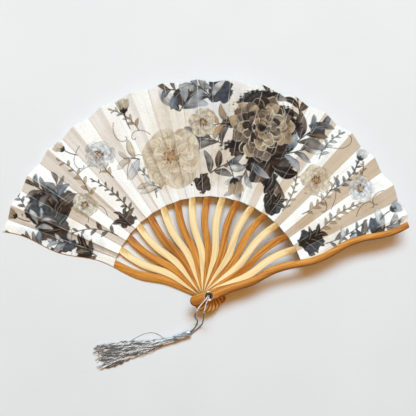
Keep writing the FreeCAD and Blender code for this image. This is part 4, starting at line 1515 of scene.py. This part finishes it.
    def path(self, rng, centre, levels, reaches, crimps, sways, drift):
        """Where a lock runs: its centre, level and reach as shares, its two waves, and its drift. A wave's
        limits are its least and greatest length and size, in millimetres."""
        path = {"centre": centre, "level": rng.uniform(*levels),
                "reach": rng.uniform(*reaches) * SKIRT_LENGTH}
        path["waves"] = [(rng.uniform(*limits[:2]) * MM, rng.uniform(0, ROUND),
                          rng.uniform(*limits[2:]) * MM) for limits in (crimps, sways)]
        path["drift"] = rng.uniform(-drift, drift)
        return path

    def thread(self, laid, rng, path, spread):
        """One thread of a lock."""
        level = min(max(path["level"] + rng.gauss(0, 0.14), 0.03), 0.97)
        length = path["reach"] * rng.uniform(0.90, 1.0)
        own_length, own_phase = rng.uniform(4.0, 9.0) * MM, rng.uniform(0, ROUND)
        own_size = rng.uniform(0.04, 0.26) * MM
        shift = rng.gauss(0, 0.35)
        steps = 38
        line = []
        for step in range(steps + 1):
            along = step / steps * length
            share = along / SKIRT_LENGTH
            width, height, middle = skirt_section(share)
            loose = smooth(share, 0.03, 0.35)
            offset = path["centre"] + spread * loose * 1.5 + path["drift"] * share * share
            across = offset * (width / 2 - 0.4 * MM)
            for wavelength, phase, size in path["waves"]:
                across += loose * size * math.sin(2 * math.pi * along / wavelength + phase + shift)
            own_turn = 2 * math.pi * along / own_length + own_phase
            across += loose * own_size * math.sin(own_turn)
            dome = math.sqrt(max(1 - min(abs(across) / (width / 2), 1.0) ** 2, 0.05))
            up = (level - 0.5) * (height - 0.5 * MM) * dome + loose * own_size * math.cos(own_turn)
            line.append(laid @ Vector((along, across, max(middle + up, 0.25 * MM) - TASSEL_START.z)))
        return line

    def stray_thread(self):
        """One thread that has come out of the skirt and lies beside it in an arc."""
        places = [(-44.5, -43.6, 2.0), (-50.0, -39.6, 0.6), (-57.5, -37.7, 0.35), (-66.0, -39.6, 0.35),
                  (-77.0, -45.4, 0.4), (-84.0, -50.0, 1.6)]
        return route_points("stray_route", places)


def skirt_section(share):
    """The skirt's width, its height and the height of its middle at a share of its length."""
    shares, widths, heights = zip(*SKIRT_SECTIONS)
    width = float(np.interp(share, shares, widths)) * MM
    height = float(np.interp(share, shares, heights)) * MM
    return width, height, mix(TASSEL_START.z, height / 2, smooth(share, 0.0, 0.3))


# ---------------------------------------------------------------- panel and start

STEPS = ("stage", "cord", "ribs", "guards", "rivet", "leaf", "tassel")


class FAN_PT_panel(bpy.types.Panel):
    """The fan's sizes, colours and steps"""

    bl_idname = "FAN_PT_panel"
    bl_label = "Folding hand fan"
    bl_space_type = "VIEW_3D"
    bl_region_type = "UI"
    bl_category = "Fan"

    def draw(self, context):
        for group in (context.scene.fan_sizes, context.scene.fan_colours):
            column = self.layout.column(align=True)
            for name in group.__annotations__:
                column.prop(group, name)
        for step in STEPS:
            self.layout.operator("fan." + step)


CLASSES = (FanSizes, FanColours, FAN_OT_stage, FAN_OT_cord, FAN_OT_ribs, FAN_OT_guards, FAN_OT_rivet,
           FAN_OT_leaf, FAN_OT_tassel, FAN_PT_panel)


def register():
    for kind in CLASSES:
        bpy.utils.register_class(kind)
    bpy.types.Scene.fan_sizes = PointerProperty(type=FanSizes)
    bpy.types.Scene.fan_colours = PointerProperty(type=FanColours)


def unregister():
    del bpy.types.Scene.fan_sizes
    del bpy.types.Scene.fan_colours
    for kind in reversed(CLASSES):
        bpy.utils.unregister_class(kind)


def main():
    register()
    bpy.context.scene.view_settings.view_transform = "Standard"
    for step in STEPS:
        getattr(bpy.ops.fan, step)()


if __name__ == "__main__":
    main()
